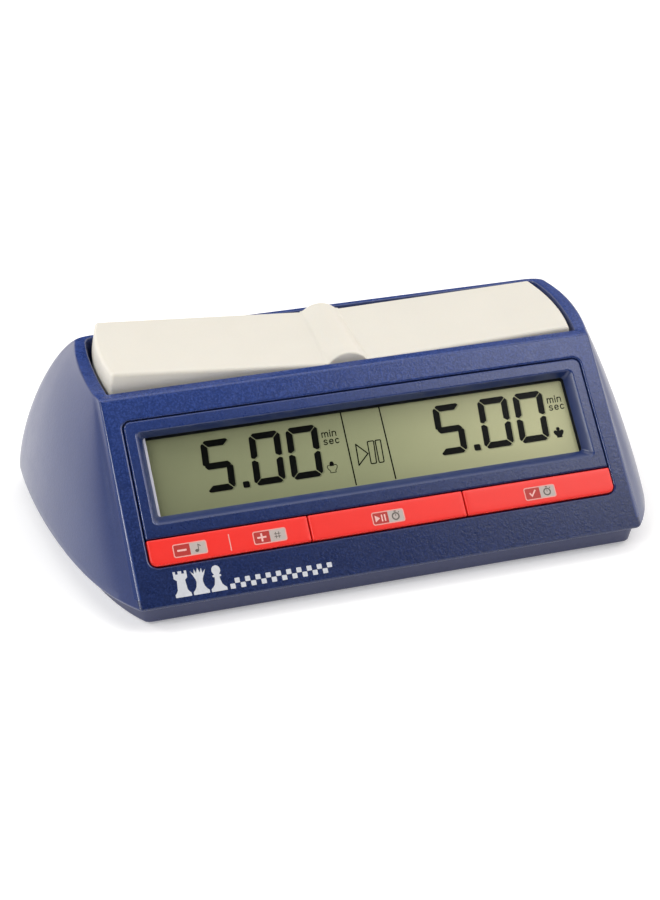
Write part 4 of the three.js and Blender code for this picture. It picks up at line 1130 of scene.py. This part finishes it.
D5, D0 = "afgcd", "abcdef"
art = []
art += digit(-41.05, -33.75, 25.6, 38.5, D5)
art += digit(-29.15, -21.45, 25.55, 38.6, D0)
art += digit(-19.9, -12.0, 25.55, 38.65, D0)
art += digit(17.85, 25.15, 25.95, 38.8, D5)
art += digit(29.65, 37.45, 25.9, 38.85, D0)
art += digit(39.1, 46.95, 25.9, 38.9, D0)
art += [rrect(-32.4, -30.8, 25.5, 27.1, (0.35,) * 4, 4), rrect(26.5, 28.15, 25.9, 27.5, (0.35,) * 4, 4)]
art = [ccw(p) for p in art]


def stroke(pts, w, closed=False):
    """Outline of a thin line through the given points."""
    n = len(pts)
    out = []
    for i in range(n if closed else n - 1):
        a, b = Vector(pts[i]), Vector(pts[(i + 1) % n])
        d = (b - a).normalized()
        nrm = Vector((-d.y, d.x)) * w / 2
        a, b = a - d * w * 0.35, b + d * w * 0.35
        out.append([tuple(a - nrm), tuple(b - nrm), tuple(b + nrm), tuple(a + nrm)])
    return out


# unit signs: small letters built from strokes
GLYPH = {
    "m": ([[(0, 0), (0, 1)], [(0, 0.78), (0.22, 1), (0.5, 0.93), (0.55, 0.7), (0.55, 0)], [(0.55, 0.78), (0.78, 1), (1.05, 0.93), (1.1, 0.7), (1.1, 0)]], 1.1),
    "i": ([[(0, 0), (0, 1)], [(0, 1.27), (0, 1.42)]], 0.0),
    "n": ([[(0, 0), (0, 1)], [(0, 0.75), (0.25, 1), (0.58, 0.93), (0.66, 0.7), (0.66, 0)]], 0.66),
    "s": ([[(0.6, 0.86), (0.4, 1), (0.15, 0.98), (0.02, 0.78), (0.12, 0.58), (0.5, 0.45), (0.62, 0.25), (0.5, 0.04), (0.22, 0), (0, 0.14)]], 0.62),
    "e": ([[(0.02, 0.52), (0.68, 0.52), (0.62, 0.85), (0.35, 1), (0.08, 0.85), (0, 0.5), (0.08, 0.14), (0.36, 0), (0.65, 0.14)]], 0.68),
    "c": ([[(0.62, 0.83), (0.36, 1), (0.08, 0.85), (0, 0.5), (0.08, 0.15), (0.36, 0), (0.62, 0.17)]], 0.62),
}


def label(text, x, y, h, gap=0.42, w=0.2, wide=1.0):
    out = []
    for ch in text:
        lines_, adv = GLYPH[ch]
        for ln in lines_:
            out += stroke([(x + px * h * wide + 0.06 * py * h, y + py * h) for px, py in ln], w)
        x += (adv * wide + gap) * h
    return out


def piece_sign(cx, y0, w, h, outline=0.0):
    """Crowned chess piece: tapered base, two lobes and a peak."""
    half = [(0.30, 0.0), (0.27, 0.16), (0.46, 0.36), (0.54, 0.56), (0.46, 0.70), (0.28, 0.72), (0.12, 0.62), (0.20, 0.82), (0.12, 0.98), (0.0, 1.0)]
    pts = [(cx + x * w, y0 + y * h) for x, y in half] + [(cx - x * w, y0 + y * h) for x, y in half[-2::-1]]
    return soften(pts, 0.10, 2)


small = []
small += label("min", -10.75, 35.05, 1.15, 0.5, 0.25, 1.15) + label("sec", -10.65, 33.15, 1.15, 0.52, 0.25, 1.15)
small += label("min", 48.35, 35.25, 1.18, 0.5, 0.25, 1.15) + label("sec", 48.4, 33.3, 1.18, 0.52, 0.25, 1.15)
small += stroke(piece_sign(-9.95, 25.95, 2.35, 2.7), 0.17, True)
small.append([(-10.25, 27.6), (-9.65, 27.6), (-9.38, 28.2), (-9.65, 28.75), (-10.25, 28.75), (-10.52, 28.2)])
small.append(piece_sign(49.2, 26.0, 2.55, 2.75))
play = [(-2.97, 32.1), (-0.45, 29.35), (-3.3, 26.75)]
small += stroke(play, 0.3, True)
fills = []
bars = []
for bar in ([(0.05, 32.35), (1.65, 32.35), (1.15, 26.65), (-0.22, 26.65)], [(2.05, 32.35), (3.42, 32.35), (3.08, 26.65), (1.83, 26.65)]):
    small += stroke(soften(bar, 0.3, 3), 0.27, True)
    fills.append(ccw(soften(bar, 0.3, 3)))
small = [ccw(p) for p in small]
lines = [[(-5.27, 21.9), (-4.94, 21.9), (-4.74, 41.0), (-5.07, 41.0)], rect(4.80, 5.13, 21.9, 41.0)]


def shifted(items, du, dv):
    out = []
    for it in items:
        if isinstance(it, tuple):
            out.append(([(x + du, y + dv) for x, y in it[0]], [[(x + du, y + dv) for x, y in h] for h in it[1]]))
        else:
            out.append([(x + du, y + dv) for x, y in it])
    return out


WL = -4.1
place(prism(shifted(art, SHU, SHV), WL - 0.01, WL + 0.035, "lcd_digits", M_SEG, FACE), "casing", "lcd_digits")
place(prism(shifted(small, SHU, SHV), WL - 0.01, WL + 0.035, "lcd_signs", M_SEG, FACE), "casing", "lcd_signs")
place(prism(shifted(lines, SHU, SHV), WL - 0.01, WL + 0.03, "lcd_lines", M_SEG, FACE), "casing", "lcd_divider_lines")
# the copies sit a little to the right and lower: painted shadow of the digits
place(prism(shifted(art, SHU + 0.30, SHV - 0.22), WL - 0.005, WL + 0.010, "lcd_painted_digit_shadow", M_PAINTED_DIGIT_SHADOW, FACE), "casing", "lcd_digit_shadows")
# black band on the display, its inner edge showing at the top and at the right of the window: painted shade where the
# window's upper and right walls shadow the display
shade_band_inner = rrect(-55.0 + 1.6, 53.2 + SHU, 21.0, 41.05 + SHV - 0.42, (0.3, 0.3, 0.6, 0.6), 6)
place(prism([(rrect(-54.45, 54.45, 19.95, 42.65, (0.3,) * 4, 3), [shade_band_inner])], WL - 0.01, WL + 0.05, "lcd_shade_band_mesh", M_BLACK_PAINTED_SHADE, FACE), "casing", "lcd_painted_shade_band")

# ------------------------------------------------------------------ lever
LX = Matrix.Translation((0, 0, PIVOT_Z * MM)) @ Matrix.Rotation(math.radians(LEVER_REST), 4, "Y") @ Matrix.Translation((0, 0, -PIVOT_Z * MM))
RL = 0.9                                  # rounding of the upper edges
HUMP_R = 6.25


def lever_h(x, y):
    """Flat arms, rising to the back and towards both ends."""
    ax = abs(x)
    f, r = 40.85 + 0.0625 * ax, 44.1 + 0.049 * ax
    return f + (r - f) * (y - LEVER_Y0) / (LEVER_Y1 - LEVER_Y0)


def crest(y):
    return 43.75 + 2.5 * (y - LEVER_Y0) / (LEVER_Y1 - LEVER_Y0)


def end_x(y, z):
    """Half length of the lever: bowed in plan, drafted above the rim of the well."""
    return 59.8 - 0.0104 * (y - 4.5) ** 2 + float(np.interp(z, [41.3, 46.0, 52.0], [0.75, 0.0, -0.95]))


def lever_loop(inset, z_of):
    """Plan outline, counter-clockwise from the front left, with fixed x stations along the long edges."""
    xs = list(np.concatenate([np.linspace(-57.6, -6, 40), np.linspace(-6, 6, 13)[1:], np.linspace(6, 57.6, 40)[1:]]))
    cy0, cy1 = LEVER_Y0 + inset, LEVER_Y1 - inset
    r = max(1.0 - inset, 0.05)
    def ex(y, x):
        return end_x(y, z_of(x, y)) - inset
    c0, c1 = ex(cy0 + r, 58.5), ex(cy1 - r, 58.5)
    def sx(x, cx):
        if abs(x) <= 30:
            return x
        return math.copysign(30 + (abs(x) - 30) / (57.6 - 30) * (cx - r - 30), x)
    right = [(c0 - r + r * math.sin(a), cy0 + r - r * math.cos(a)) for a in [math.radians(90 * i / 6) for i in range(1, 7)]]
    right += [(ex(y, 59.0), y) for y in np.linspace(cy0 + r, cy1 - r, 30)[1:]]
    right += [(c1 - r + r * math.cos(a), cy1 - r + r * math.sin(a)) for a in [math.radians(90 * i / 6) for i in range(1, 7)]]
    pts = [(sx(x, c0), cy0) for x in xs] + right
    pts += [(sx(x, c1), cy1) for x in reversed(xs[:-1])]
    pts += [(-x, y) for x, y in right[:-1][::-1]][:len(right) - 1]
    return [(x, y, z_of(x, y)) for x, y in pts]


lev = [lever_loop(0.25, lambda x, y: LEVER_BOTTOM), lever_loop(0.0, lambda x, y: LEVER_BOTTOM + 0.25), lever_loop(0.0, lambda x, y: min(41.3, lever_h(x, y) - RL - 0.4))]
for i in range(8):
    a = math.pi / 2 * i / 7
    d = RL * (1 - math.cos(a))
    lev.append(lever_loop(d, lambda x, y: lever_h(x, y) - RL * (1 - math.sin(a))))
for d in (2.6, 5.2, 8.0, 10.5, 12.2):
    lev.append(lever_loop(d, lever_h))
nl = len(lev[0])
vv = [p for l in lev for p in l]
ff = [(k * nl + i, k * nl + (i + 1) % nl, (k + 1) * nl + (i + 1) % nl, (k + 1) * nl + i) for k in range(len(lev) - 1) for i in range(nl)]
ff.append(tuple(range(nl - 1, -1, -1)))
# close the last narrow loop with strips between its front and back rows
b = (len(lev) - 1) * nl
nxs = 40 + 12 + 39
side = 6 + 29 + 6
front = list(range(nxs))
back = list(range(nxs + side - 1, nxs + side - 1 + nxs))[::-1]
for i in range(nxs - 1):
    ff.append((b + front[i], b + front[i + 1], b + back[i + 1], b + back[i]))
ff.append(tuple(b + j for j in range(front[-1], back[-1] + 1)))
ff.append(tuple(b + j for j in [*range(back[0], nl), 0]))
lever = plain("lever", vv, ff)


def ridge_section(y, inset, fillet=1.4):
    """Closed section of the ridge over the pivot, in x and z: an arc with a hollow blend down to each arm."""
    r, zc = HUMP_R - inset, crest(y) - HUMP_R
    slope = (lever_h(10, y) - lever_h(0, y)) / 10
    base = lambda x: lever_h(x, y) - 0.03
    # centre of the hollow blend: touches the arm from above and the ridge from outside
    lo, hi = 2.0, 9.0
    for _ in range(40):
        m = (lo + hi) / 2
        if math.hypot(m, base(m) + fillet - zc) < r + fillet:
            lo = m
        else:
            hi = m
    cx, cz = lo, base(lo) + fillet
    a1 = math.atan2(cz - zc, cx)
    half = []
    for i in range(15):
        a = math.pi / 2 + (a1 - math.pi / 2) * i / 14
        half.append((r * math.cos(a), zc + r * math.sin(a)))
    b0, b1 = a1 + math.pi, 1.5 * math.pi + math.atan(slope)
    for i in range(1, 7):
        a = b0 + (b1 - b0) * i / 6
        half.append((cx + fillet * math.cos(a), cz + fillet * math.sin(a)))
    half.append((half[-1][0] + 0.02, base(half[-1][0]) - 1.4))
    return [(-x, z) for x, z in half[:0:-1]] + half


ridge = []
for y, i in [(LEVER_Y0, 0.5), (LEVER_Y0 + 0.05, 0.28), (LEVER_Y0 + 0.15, 0.13), (LEVER_Y0 + 0.3, 0.035), (LEVER_Y0 + 0.5, 0.0)] + [(q, 0.0) for q in (-4, 0, 4, 8, 12, 16)] + [(LEVER_Y1 - 0.5, 0.0), (LEVER_Y1 - 0.3, 0.035), (LEVER_Y1 - 0.15, 0.13), (LEVER_Y1 - 0.05, 0.28), (LEVER_Y1, 0.5)]:
    ridge.append([(x, y, z) for x, z in ridge_section(y, i)][::-1])
lever = boolean(lever, [cut_loops(ridge)], "UNION")
boss = cut_loops([[(3.0 * math.cos(a), yy, PIVOT_Z + 3.0 * math.sin(a)) for a in [2 * math.pi * i / 32 for i in range(32)]] for yy in (LEVER_Y0 + 0.3, LEVER_Y1 - 0.3)])
lever = boolean(lever, [boss], "UNION")


def under(xa, xb):
    ys = [-5.3, -2.6, 2, 6, 10, 14, 16.5]
    verts = []
    for y in ys:
        for x in (xa, xb):
            verts.append((x, y, lever_h(x, y) - 2.0))
    for y in ys:
        for x in (xa, xb):
            verts.append((x, y, 30.0))
    n = len(ys)
    f = []
    for j in range(n - 1):
        f += [(2 * j, 2 * j + 1, 2 * j + 3, 2 * j + 2), (2 * n + 2 * j, 2 * n + 2 * j + 2, 2 * n + 2 * j + 3, 2 * n + 2 * j + 1)]
        f += [(2 * j, 2 * j + 2, 2 * n + 2 * j + 2, 2 * n + 2 * j), (2 * j + 1, 2 * n + 2 * j + 1, 2 * n + 2 * j + 3, 2 * j + 3)]
    f += [(0, 2 * n, 2 * n + 1, 1), (2 * n - 2, 2 * n - 1, 4 * n - 1, 4 * n - 2)]
    return plain("under", verts, f)


lever = boolean(lever, [under(4.6, 50.8), under(53.2, 56.8), under(-50.8, -4.6), under(-56.8, -53.2)])
lever = boolean(lever, [cut_box(-33, -25.5, 2, 9.5, 38.9, 43.0)], "UNION")
bore = cut_loops([[(1.6 * math.cos(a), yy, PIVOT_Z + 1.6 * math.sin(a)) for a in [2 * math.pi * i / 24 for i in range(24)]] for yy in (LEVER_Y0 - 1, LEVER_Y1 + 1)])
lever = boolean(lever, [cut_cyl(-29.2, 5.8, 30.0, 41.6, 2.8, 32), bore])
lever.data.transform(LX)
paint(lever, M_IVORY)
lever.data.shade_smooth()
lever.data.set_sharp_from_angle(angle=math.radians(38))
place(lever, "rocker", "rocker_lever_cap", "rocker_lever")

# ------------------------------------------------------------------ feet, screws, door, button
def arc_pts(cx, cy, r, a0, a1, n=6):
    return [(cx + r * math.cos(math.radians(a0 + (a1 - a0) * i / n)), cy + r * math.sin(math.radians(a0 + (a1 - a0) * i / n))) for i in range(n + 1)]


for nm, x, y in (("front_left", -55, -35.5), ("front_right", 55, -35.5), ("rear_left", -56, 35), ("rear_right", 56, 35)):
    prof = [(0, 0.04), (2.6, 0.02), (3.4, 0.0)] + arc_pts(3.75, 0.75, 0.75, -90, 0) + [(4.5, 1.9), (0, 1.9)]
    place(lathe("foot", prof, x, y, 72, (M_RUBBER,), 40), "casing", "rubber_foot_" + nm, "foot_" + nm)
for nm, x, y in (("front_left", -63.5, -22), ("front_right", 63.5, -22), ("rear_left", -64, 24), ("rear_right", 64, 24)):
    prof = [(0, 1.2), (1.3, 1.21)] + arc_pts(1.9, 1.9, 0.7, -90, 0, 6) + [(2.6, 2.0), (2.6, 2.9), (1.2, 2.9), (1.2, 3.3), (0.95, 3.45)]
    z = 3.45
    while z < 13.4:
        prof += [(1.2, z + 0.3), (1.2, z + 0.38), (0.95, z + 0.68)]
        z += 0.68
    prof += [(0.9, 14.2), (0, 15.4)]
    sc = lathe("screw", prof, x, y, 40, (), 30)
    sc.modifiers.clear()
    slots = []
    for s in (0, 1):
        q = cut_loops([[(-1.45, -0.28, 0.8), (1.45, -0.28, 0.8), (1.45, 0.28, 0.8), (-1.45, 0.28, 0.8)], [(-1.2, -0.2, 2.2), (1.2, -0.2, 2.2), (1.2, 0.2, 2.2), (-1.2, 0.2, 2.2)]])
        q.data.transform(Matrix.Translation((x * MM, y * MM, 0)) @ Matrix.Rotation(math.radians(25 + 90 * s), 4, "Z"))
        slots.append(q)
    sc = boolean(sc, slots)
    paint(sc, M_STEEL)
    sc.data.shade_smooth()
    sc.data.set_sharp_from_angle(angle=math.radians(35))
    place(sc, "casing", "screw_" + nm, "casing_screw_" + nm)

dr = (1.2, 1.2, 0.8, 0.8)
dl = [at(grow(-30, 30, 5.5, 42.6, dr, -0.45 * (1 - math.cos(a)), N8), 0.6 + 0.45 * (1 - math.sin(a))) for a in (math.pi / 2, math.pi / 3, math.pi / 6, 0)]
dl += [at(grow(-30, 30, 5.5, 42.6, dr, 0, N8), 2.6)]
door = cut_loops(dl)
door = boolean(door, [cut_box(-31, 31, 5.5, 40.6, 1.7, 2.6)], "UNION")
gr = []
for i in range(4):
    y0, y1 = 33 + i * 2.2, 34 + i * 2.2
    gr.append(cut_loops([rect_loop(-9.2, 9.2, y0 - 0.2, y1 + 0.2, 0.6, 0.3), rect_loop(-9.2, 9.2, y0 - 0.2, y1 + 0.2, 0.6, 0.6), rect_loop(-9.0, 9.0, y0, y1, 0.45, 0.78), rect_loop(-8.95, 8.95, y0 + 0.08, y1 - 0.08, 0.4, 1.05)]))
# a raised-edge arrow sunk in the door, pointing the way it slides
arrow = [(-3.4, 24.0), (-1.3, 24.0), (-1.3, 18.0), (1.3, 18.0), (1.3, 24.0), (3.4, 24.0), (0, 28.2)]
gr.append(cut_loops([at(arrow, 0.3), at(arrow, 0.85)]))
door = boolean(door, gr)
paint(door, M_PLINTH)
door.data.shade_smooth()
door.data.set_sharp_from_angle(angle=math.radians(28))
flat_sharp(door.data, (0, 0, 0.6 * MM), (0, 0, 1))
place(door, "door", "battery_door_cover", "battery_door")

prof = [(0, 1.35), (1.6, 1.28), (2.6, 1.08)] + arc_pts(3.1, 1.5, 0.5, -90, 0, 6) + [(3.6, 3.9), (5.0, 3.9), (5.2, 4.1), (5.2, 4.5), (5.1, 4.6), (0, 4.6)]
place(lathe("button", prof, -45, -8, 72, (M_GREY,), 32), "power", "power_button_cap", "power_button")

# ------------------------------------------------------------------ batteries and contacts
M_WRAP = plastic("battery_wrap", (0.035, 0.038, 0.045), rough=0.28, grain=0.0, vary=0.1, coat=0.5)
M_BAND = plastic("battery_band", (0.55, 0.34, 0.10), rough=0.25, grain=0.0, vary=0.08, coat=0.5)


def battery(name, node, xc, yc, d):
    h, r = 24.6, 7.1
    prof = [(0, -h)] + [(4.5, -h), (4.8, -h + 0.12)] + [(5.4, -h + 0.12), (5.6, -h)] + arc_pts(r - 0.5, -h + 0.5, 0.5, -90, 0, 5) + [(r - 0.04, -h + 0.9), (r, -h + 1.0), (r, h - 12.0), (r, h - 1.3)] + arc_pts(r - 0.9, h - 1.2, 0.9, 0, 80, 6) + [(5.4, h - 0.35), (5.2, h - 0.55), (2.9, h - 0.55), (2.75, h - 0.4), (2.7, h + 0.8)] + arc_pts(2.35, h + 0.75, 0.35, 0, 90, 4) + [(0, h + 1.1)]
    ob = lathe(name, [(a, b * d) for a, b in prof], 0, 0, 72, (M_WRAP, M_BAND, M_STEEL), 35, axis="X", xf=Matrix.Translation((xc * MM, yc * MM, 10.9 * MM)))
    for p in ob.data.polygons:
        c = (p.center.x / MM - xc) * d
        rr = math.hypot(p.center.y / MM - yc, p.center.z / MM - 10.9)
        if c > h - 0.5 and rr < 5.3 or c < -h + 0.3 and rr < 5.8:
            p.material_index = 2
        elif h - 12.0 < c < h - 0.9 and rr > 5.5:
            p.material_index = 1
    place(ob, "casing", name, node)


battery("battery_cell_front", "battery_front", -2.9, 14.3, -1)
battery("battery_cell_rear", "battery_rear", 2.9, 29.2, 1)


def tube(name, pts, r, mats, seg=12, body="casing", node=None):
    pts = np.asarray(pts, float)
    t = np.gradient(pts, axis=0)
    t /= np.linalg.norm(t, axis=1, keepdims=True)
    n = np.cross(t[0], (0.3, 0.5, 0.8))
    n /= np.linalg.norm(n)
    loops = []
    for p, d in zip(pts, t):
        n = n - d * n.dot(d)
        n /= np.linalg.norm(n)
        b_ = np.cross(d, n)
        loops.append([tuple(p + r * (math.cos(a) * n + math.sin(a) * b_)) for a in [2 * math.pi * i / seg for i in range(seg)]])
    ob = loops_solid(name, loops, mats, sharp=50.0)
    return place(ob, body, name, node)


for nm, xa, xb, y in (("front", 28.3, 22.4, 14.3), ("rear", -28.3, -22.4, 29.2)):
    q = np.linspace(0, 1, 200)
    a = q * 3.2 * 2 * math.pi
    rr = 4.2 + (2.6 - 4.2) * q
    tube("contact_spring_" + nm, np.column_stack([xa + (xb - xa) * q, y + rr * np.cos(a), 10.9 + rr * np.sin(a)]), 0.34, (M_SPRING,), 10, node="battery_spring_" + nm)


def catmull(pts, n=60):
    p = np.array(pts, float)
    p = np.vstack([2 * p[0] - p[1], p, 2 * p[-1] - p[-2]])
    out = []
    m = len(p) - 3
    for k_ in range(m):
        for u in np.linspace(0, 1, n // m, endpoint=(k_ == m - 1)):
            a_, b_, c_, d_ = p[k_], p[k_ + 1], p[k_ + 2], p[k_ + 3]
            out.append(0.5 * (2 * b_ + (c_ - a_) * u + (2 * a_ - 5 * b_ + 4 * c_ - d_) * u * u + (3 * b_ - 3 * c_ + d_ - a_) * u**3))
    return np.array(out)


M_WR = plastic("wire_red", (0.45, 0.02, 0.018), rough=0.4, vary=0.1)
M_WB = plastic("wire_black", (0.015, 0.015, 0.016), rough=0.4, vary=0.1)
tube("battery_lead_red", catmull([[-28.2, 14, 17.3], [-28.6, 9, 19.5], [-30, 2, 21], [-31, -8, 20.5], [-31.5, -17, 16.8], [-31.5, -24.2, 12.9]]), 0.7, (M_WR,), 14, node="battery_wire_red")
tube("battery_lead_black", catmull([[-28.2, 29, 17.3], [-29.5, 22, 20.5], [-34, 10, 23], [-36.5, -4, 22], [-37, -16, 18], [-37, -24.2, 12.9]]), 0.7, (M_WB,), 14, node="battery_wire_black")

prof = [(0, 3.8), (0.9, 3.8), (1.0, 3.9), (1.0, 4.3), (1.4, 4.3), (1.4, 3.95), (1.55, 3.8)] + arc_pts(8.4, 4.4, 0.6, -90, 0, 5) + arc_pts(8.4, 7.4, 0.6, 0, 90, 5) + [(0, 8.0)]
place(lathe("buzzer", prof, 46, -6, 72, (M_BLACK,), 32), "casing", "buzzer_can", "buzzer")

# ------------------------------------------------------------------ carried-over CAD nodes
M_BOARD = Nodes("circuit_board")
M_BOARD.set(Roughness=0.42, Coat_Weight=0.3)
brick = M_BOARD.noise(420.0, 2.0, 0.5, kind="ShaderNodeTexVoronoi")
M_BOARD.to(M_BOARD.ramp(brick.outputs["Distance"], [(0.0, (0.02, 0.20, 0.07)), (0.35, (0.012, 0.13, 0.045)), (0.7, (0.02, 0.17, 0.06))]), "Base Color")
M_BOARD.bump(brick.outputs["Distance"], 0.2, 0.00004)
M_BOARD = M_BOARD.mat
M_MAGNET = metal("magnet_nickel", (0.70, 0.69, 0.67), 0.2)
M_CHIP = plastic("chip_black", (0.016, 0.016, 0.018), rough=0.55, grain=0.5, grain_scale=3000, vary=0.12)
CARRY = {
    "zebra_strip_upper": (M_BLACK, "zebra_rubber"), "zebra_strip_lower": (M_BLACK, "zebra_rubber"),
    "main_board": (M_BOARD, "circuit_board"), "power_board": (M_BOARD, "circuit_board"),
    "board_screw_lower_left": (M_STEEL, "steel"), "board_screw_lower_right": (M_STEEL, "steel"),
    "board_screw_upper_left": (M_STEEL, "steel"), "board_screw_upper_right": (M_STEEL, "steel"),
    "processor_chip": (M_CHIP, "chip_black"), "keypad_mat": (M_SILICONE, "silicone_grey"),
    "lever_magnet": (M_MAGNET, "magnet_nickel"), "lever_pivot_pin": (M_STEEL, "steel"),
    "lever_stop_left": (M_RUBBER, "rubber_black"), "lever_stop_right": (M_RUBBER, "rubber_black"),
    "lever_sensor": (M_CHIP, "chip_black"), "positive_contact": (M_SPRING, "contact_steel"),
    "negative_contact": (M_SPRING, "contact_steel"), "bridge_contact": (M_SPRING, "contact_steel"),
    "power_switch": (M_BLACK, "chip_black"),
}
SOFT_EDGE = {"zebra_strip_upper": 0.15, "zebra_strip_lower": 0.15, "main_board": 0.12, "power_board": 0.12, "processor_chip": 0.2, "keypad_mat": 0.15, "lever_magnet": 0.25, "lever_pivot_pin": 0.2, "lever_stop_left": 0.3, "lever_stop_right": 0.3, "lever_sensor": 0.15, "positive_contact": 0.08, "negative_contact": 0.08, "bridge_contact": 0.08, "power_switch": 0.25}
for name, ob in nodes.items():
    if name not in CARRY:
        continue
    mat_, slot_ = CARRY[name]
    ob.data.materials.clear()
    ob.data.materials.append(mat_)
    for p in ob.data.polygons:
        p.material_index = 0
    if name in SOFT_EDGE:
        b_ = ob.modifiers.new("bevel", "BEVEL")
        b_.width = SOFT_EDGE[name] * MM
        b_.segments = 3
        b_.limit_method = "ANGLE"
        b_.angle_limit = math.radians(40)

# ------------------------------------------------------------------ floor, light, camera
k = Nodes("studio_floor")
k.set(Roughness=0.9, Specular_IOR_Level=0.1, Emission_Strength=0.31)
k.bsdf.inputs["Base Color"].default_value = (0.82, 0.82, 0.82, 1)
k.bsdf.inputs["Emission Color"].default_value = (1, 1, 1, 1)
M_FLOOR = k.mat
fl_ = plain("studio_floor", [(-6000, -4000, 0), (6000, -4000, 0), (6000, 9000, 0), (-6000, 9000, 0)], [(0, 1, 2, 3)])
fl_.data.materials.append(M_FLOOR)

world = bpy.data.worlds.new("studio")
bpy.context.scene.world = world
world.use_nodes = True
wt = world.node_tree
bg = wt.nodes["Background"]
wtc = wt.nodes.new("ShaderNodeTexCoord")


def world_lobe(direction, a, b, value):
    """Soft patch of light round a direction of the sky."""
    dot = wt.nodes.new("ShaderNodeVectorMath")
    dot.operation = "DOT_PRODUCT"
    v = Vector(direction).normalized()
    dot.inputs[1].default_value = v
    wt.links.new(wtc.outputs["Generated"], dot.inputs[0])
    r = wt.nodes.new("ShaderNodeMapRange")
    r.interpolation_type = "SMOOTHSTEP"
    r.inputs["From Min"].default_value, r.inputs["From Max"].default_value = a, b
    r.inputs["To Min"].default_value, r.inputs["To Max"].default_value = 0.0, value
    wt.links.new(dot.outputs["Value"], r.inputs["Value"])
    return r.outputs[0]


def world_sum(items, base):
    cur = None
    for it in items:
        m = wt.nodes.new("ShaderNodeMath")
        m.operation = "ADD"
        wt.links.new(it, m.inputs[0])
        if cur is None:
            m.inputs[1].default_value = base
        else:
            wt.links.new(cur, m.inputs[1])
        cur = m.outputs[0]
    return cur


sky = world_sum([world_lobe((-0.5, 0.86, 0.0), 0.72, 0.96, 1.72), world_lobe((-0.9, 0.35, -0.1), 0.6, 0.98, 0.8), world_lobe((0.95, 0.15, 0.2), 0.45, 0.97, 1.9)], 0.03)
bg.inputs[0].default_value = (1.0, 0.955, 0.92, 1)
wt.links.new(sky, bg.inputs[1])


def area(name, loc, target, size, power, color=(1, 1, 1)):
    d = bpy.data.lights.new(name, "AREA")
    d.shape = "RECTANGLE"
    d.size, d.size_y = size
    d.energy = power
    d.color = color
    o = bpy.data.objects.new(name, d)
    COL.objects.link(o)
    o.location = loc
    v = Vector(target) - Vector(loc)
    o.rotation_euler = v.to_track_quat("-Z", "Y").to_euler()
    return o


area("softbox_key", (0.275, -0.17, 0.46), (0.02, -0.02, 0.03), (0.20, 0.20), 0.64, (1.0, 0.98, 0.96))
area("softbox_left", (-0.62, -0.44, 0.56), (0, 0, 0.03), (0.5, 0.5), 2.3)
area("strip_edge", (-0.60, 0.14, 0.58), (-0.05, -0.02, 0.03), (0.16, 0.16), 1.35)
area("edge_glint", (-0.582, -0.207, 0.491), (-0.062, -0.027, 0.026), (0.09, 0.09), 0.75)
area("softbox_top", (0.05, 0.30, 1.0), (0, 0, 0.03), (1.1, 0.9), 5.6)

cam = bpy.data.cameras.new("camera")
cam.lens, cam.sensor_width, cam.sensor_fit = 75.244, 36.0, "AUTO"
cam.clip_start, cam.clip_end = 0.01, 50
co = bpy.data.objects.new("camera", cam)
COL.objects.link(co)
co.location = (-0.12832, -0.40193, 0.24428)
co.rotation_euler = (math.radians(90 - 28.746), 0, math.radians(-17.397))
bpy.context.scene.camera = co
bpy.context.scene.view_settings.view_transform = "Standard"
bpy.context.scene.view_settings.look = "None"
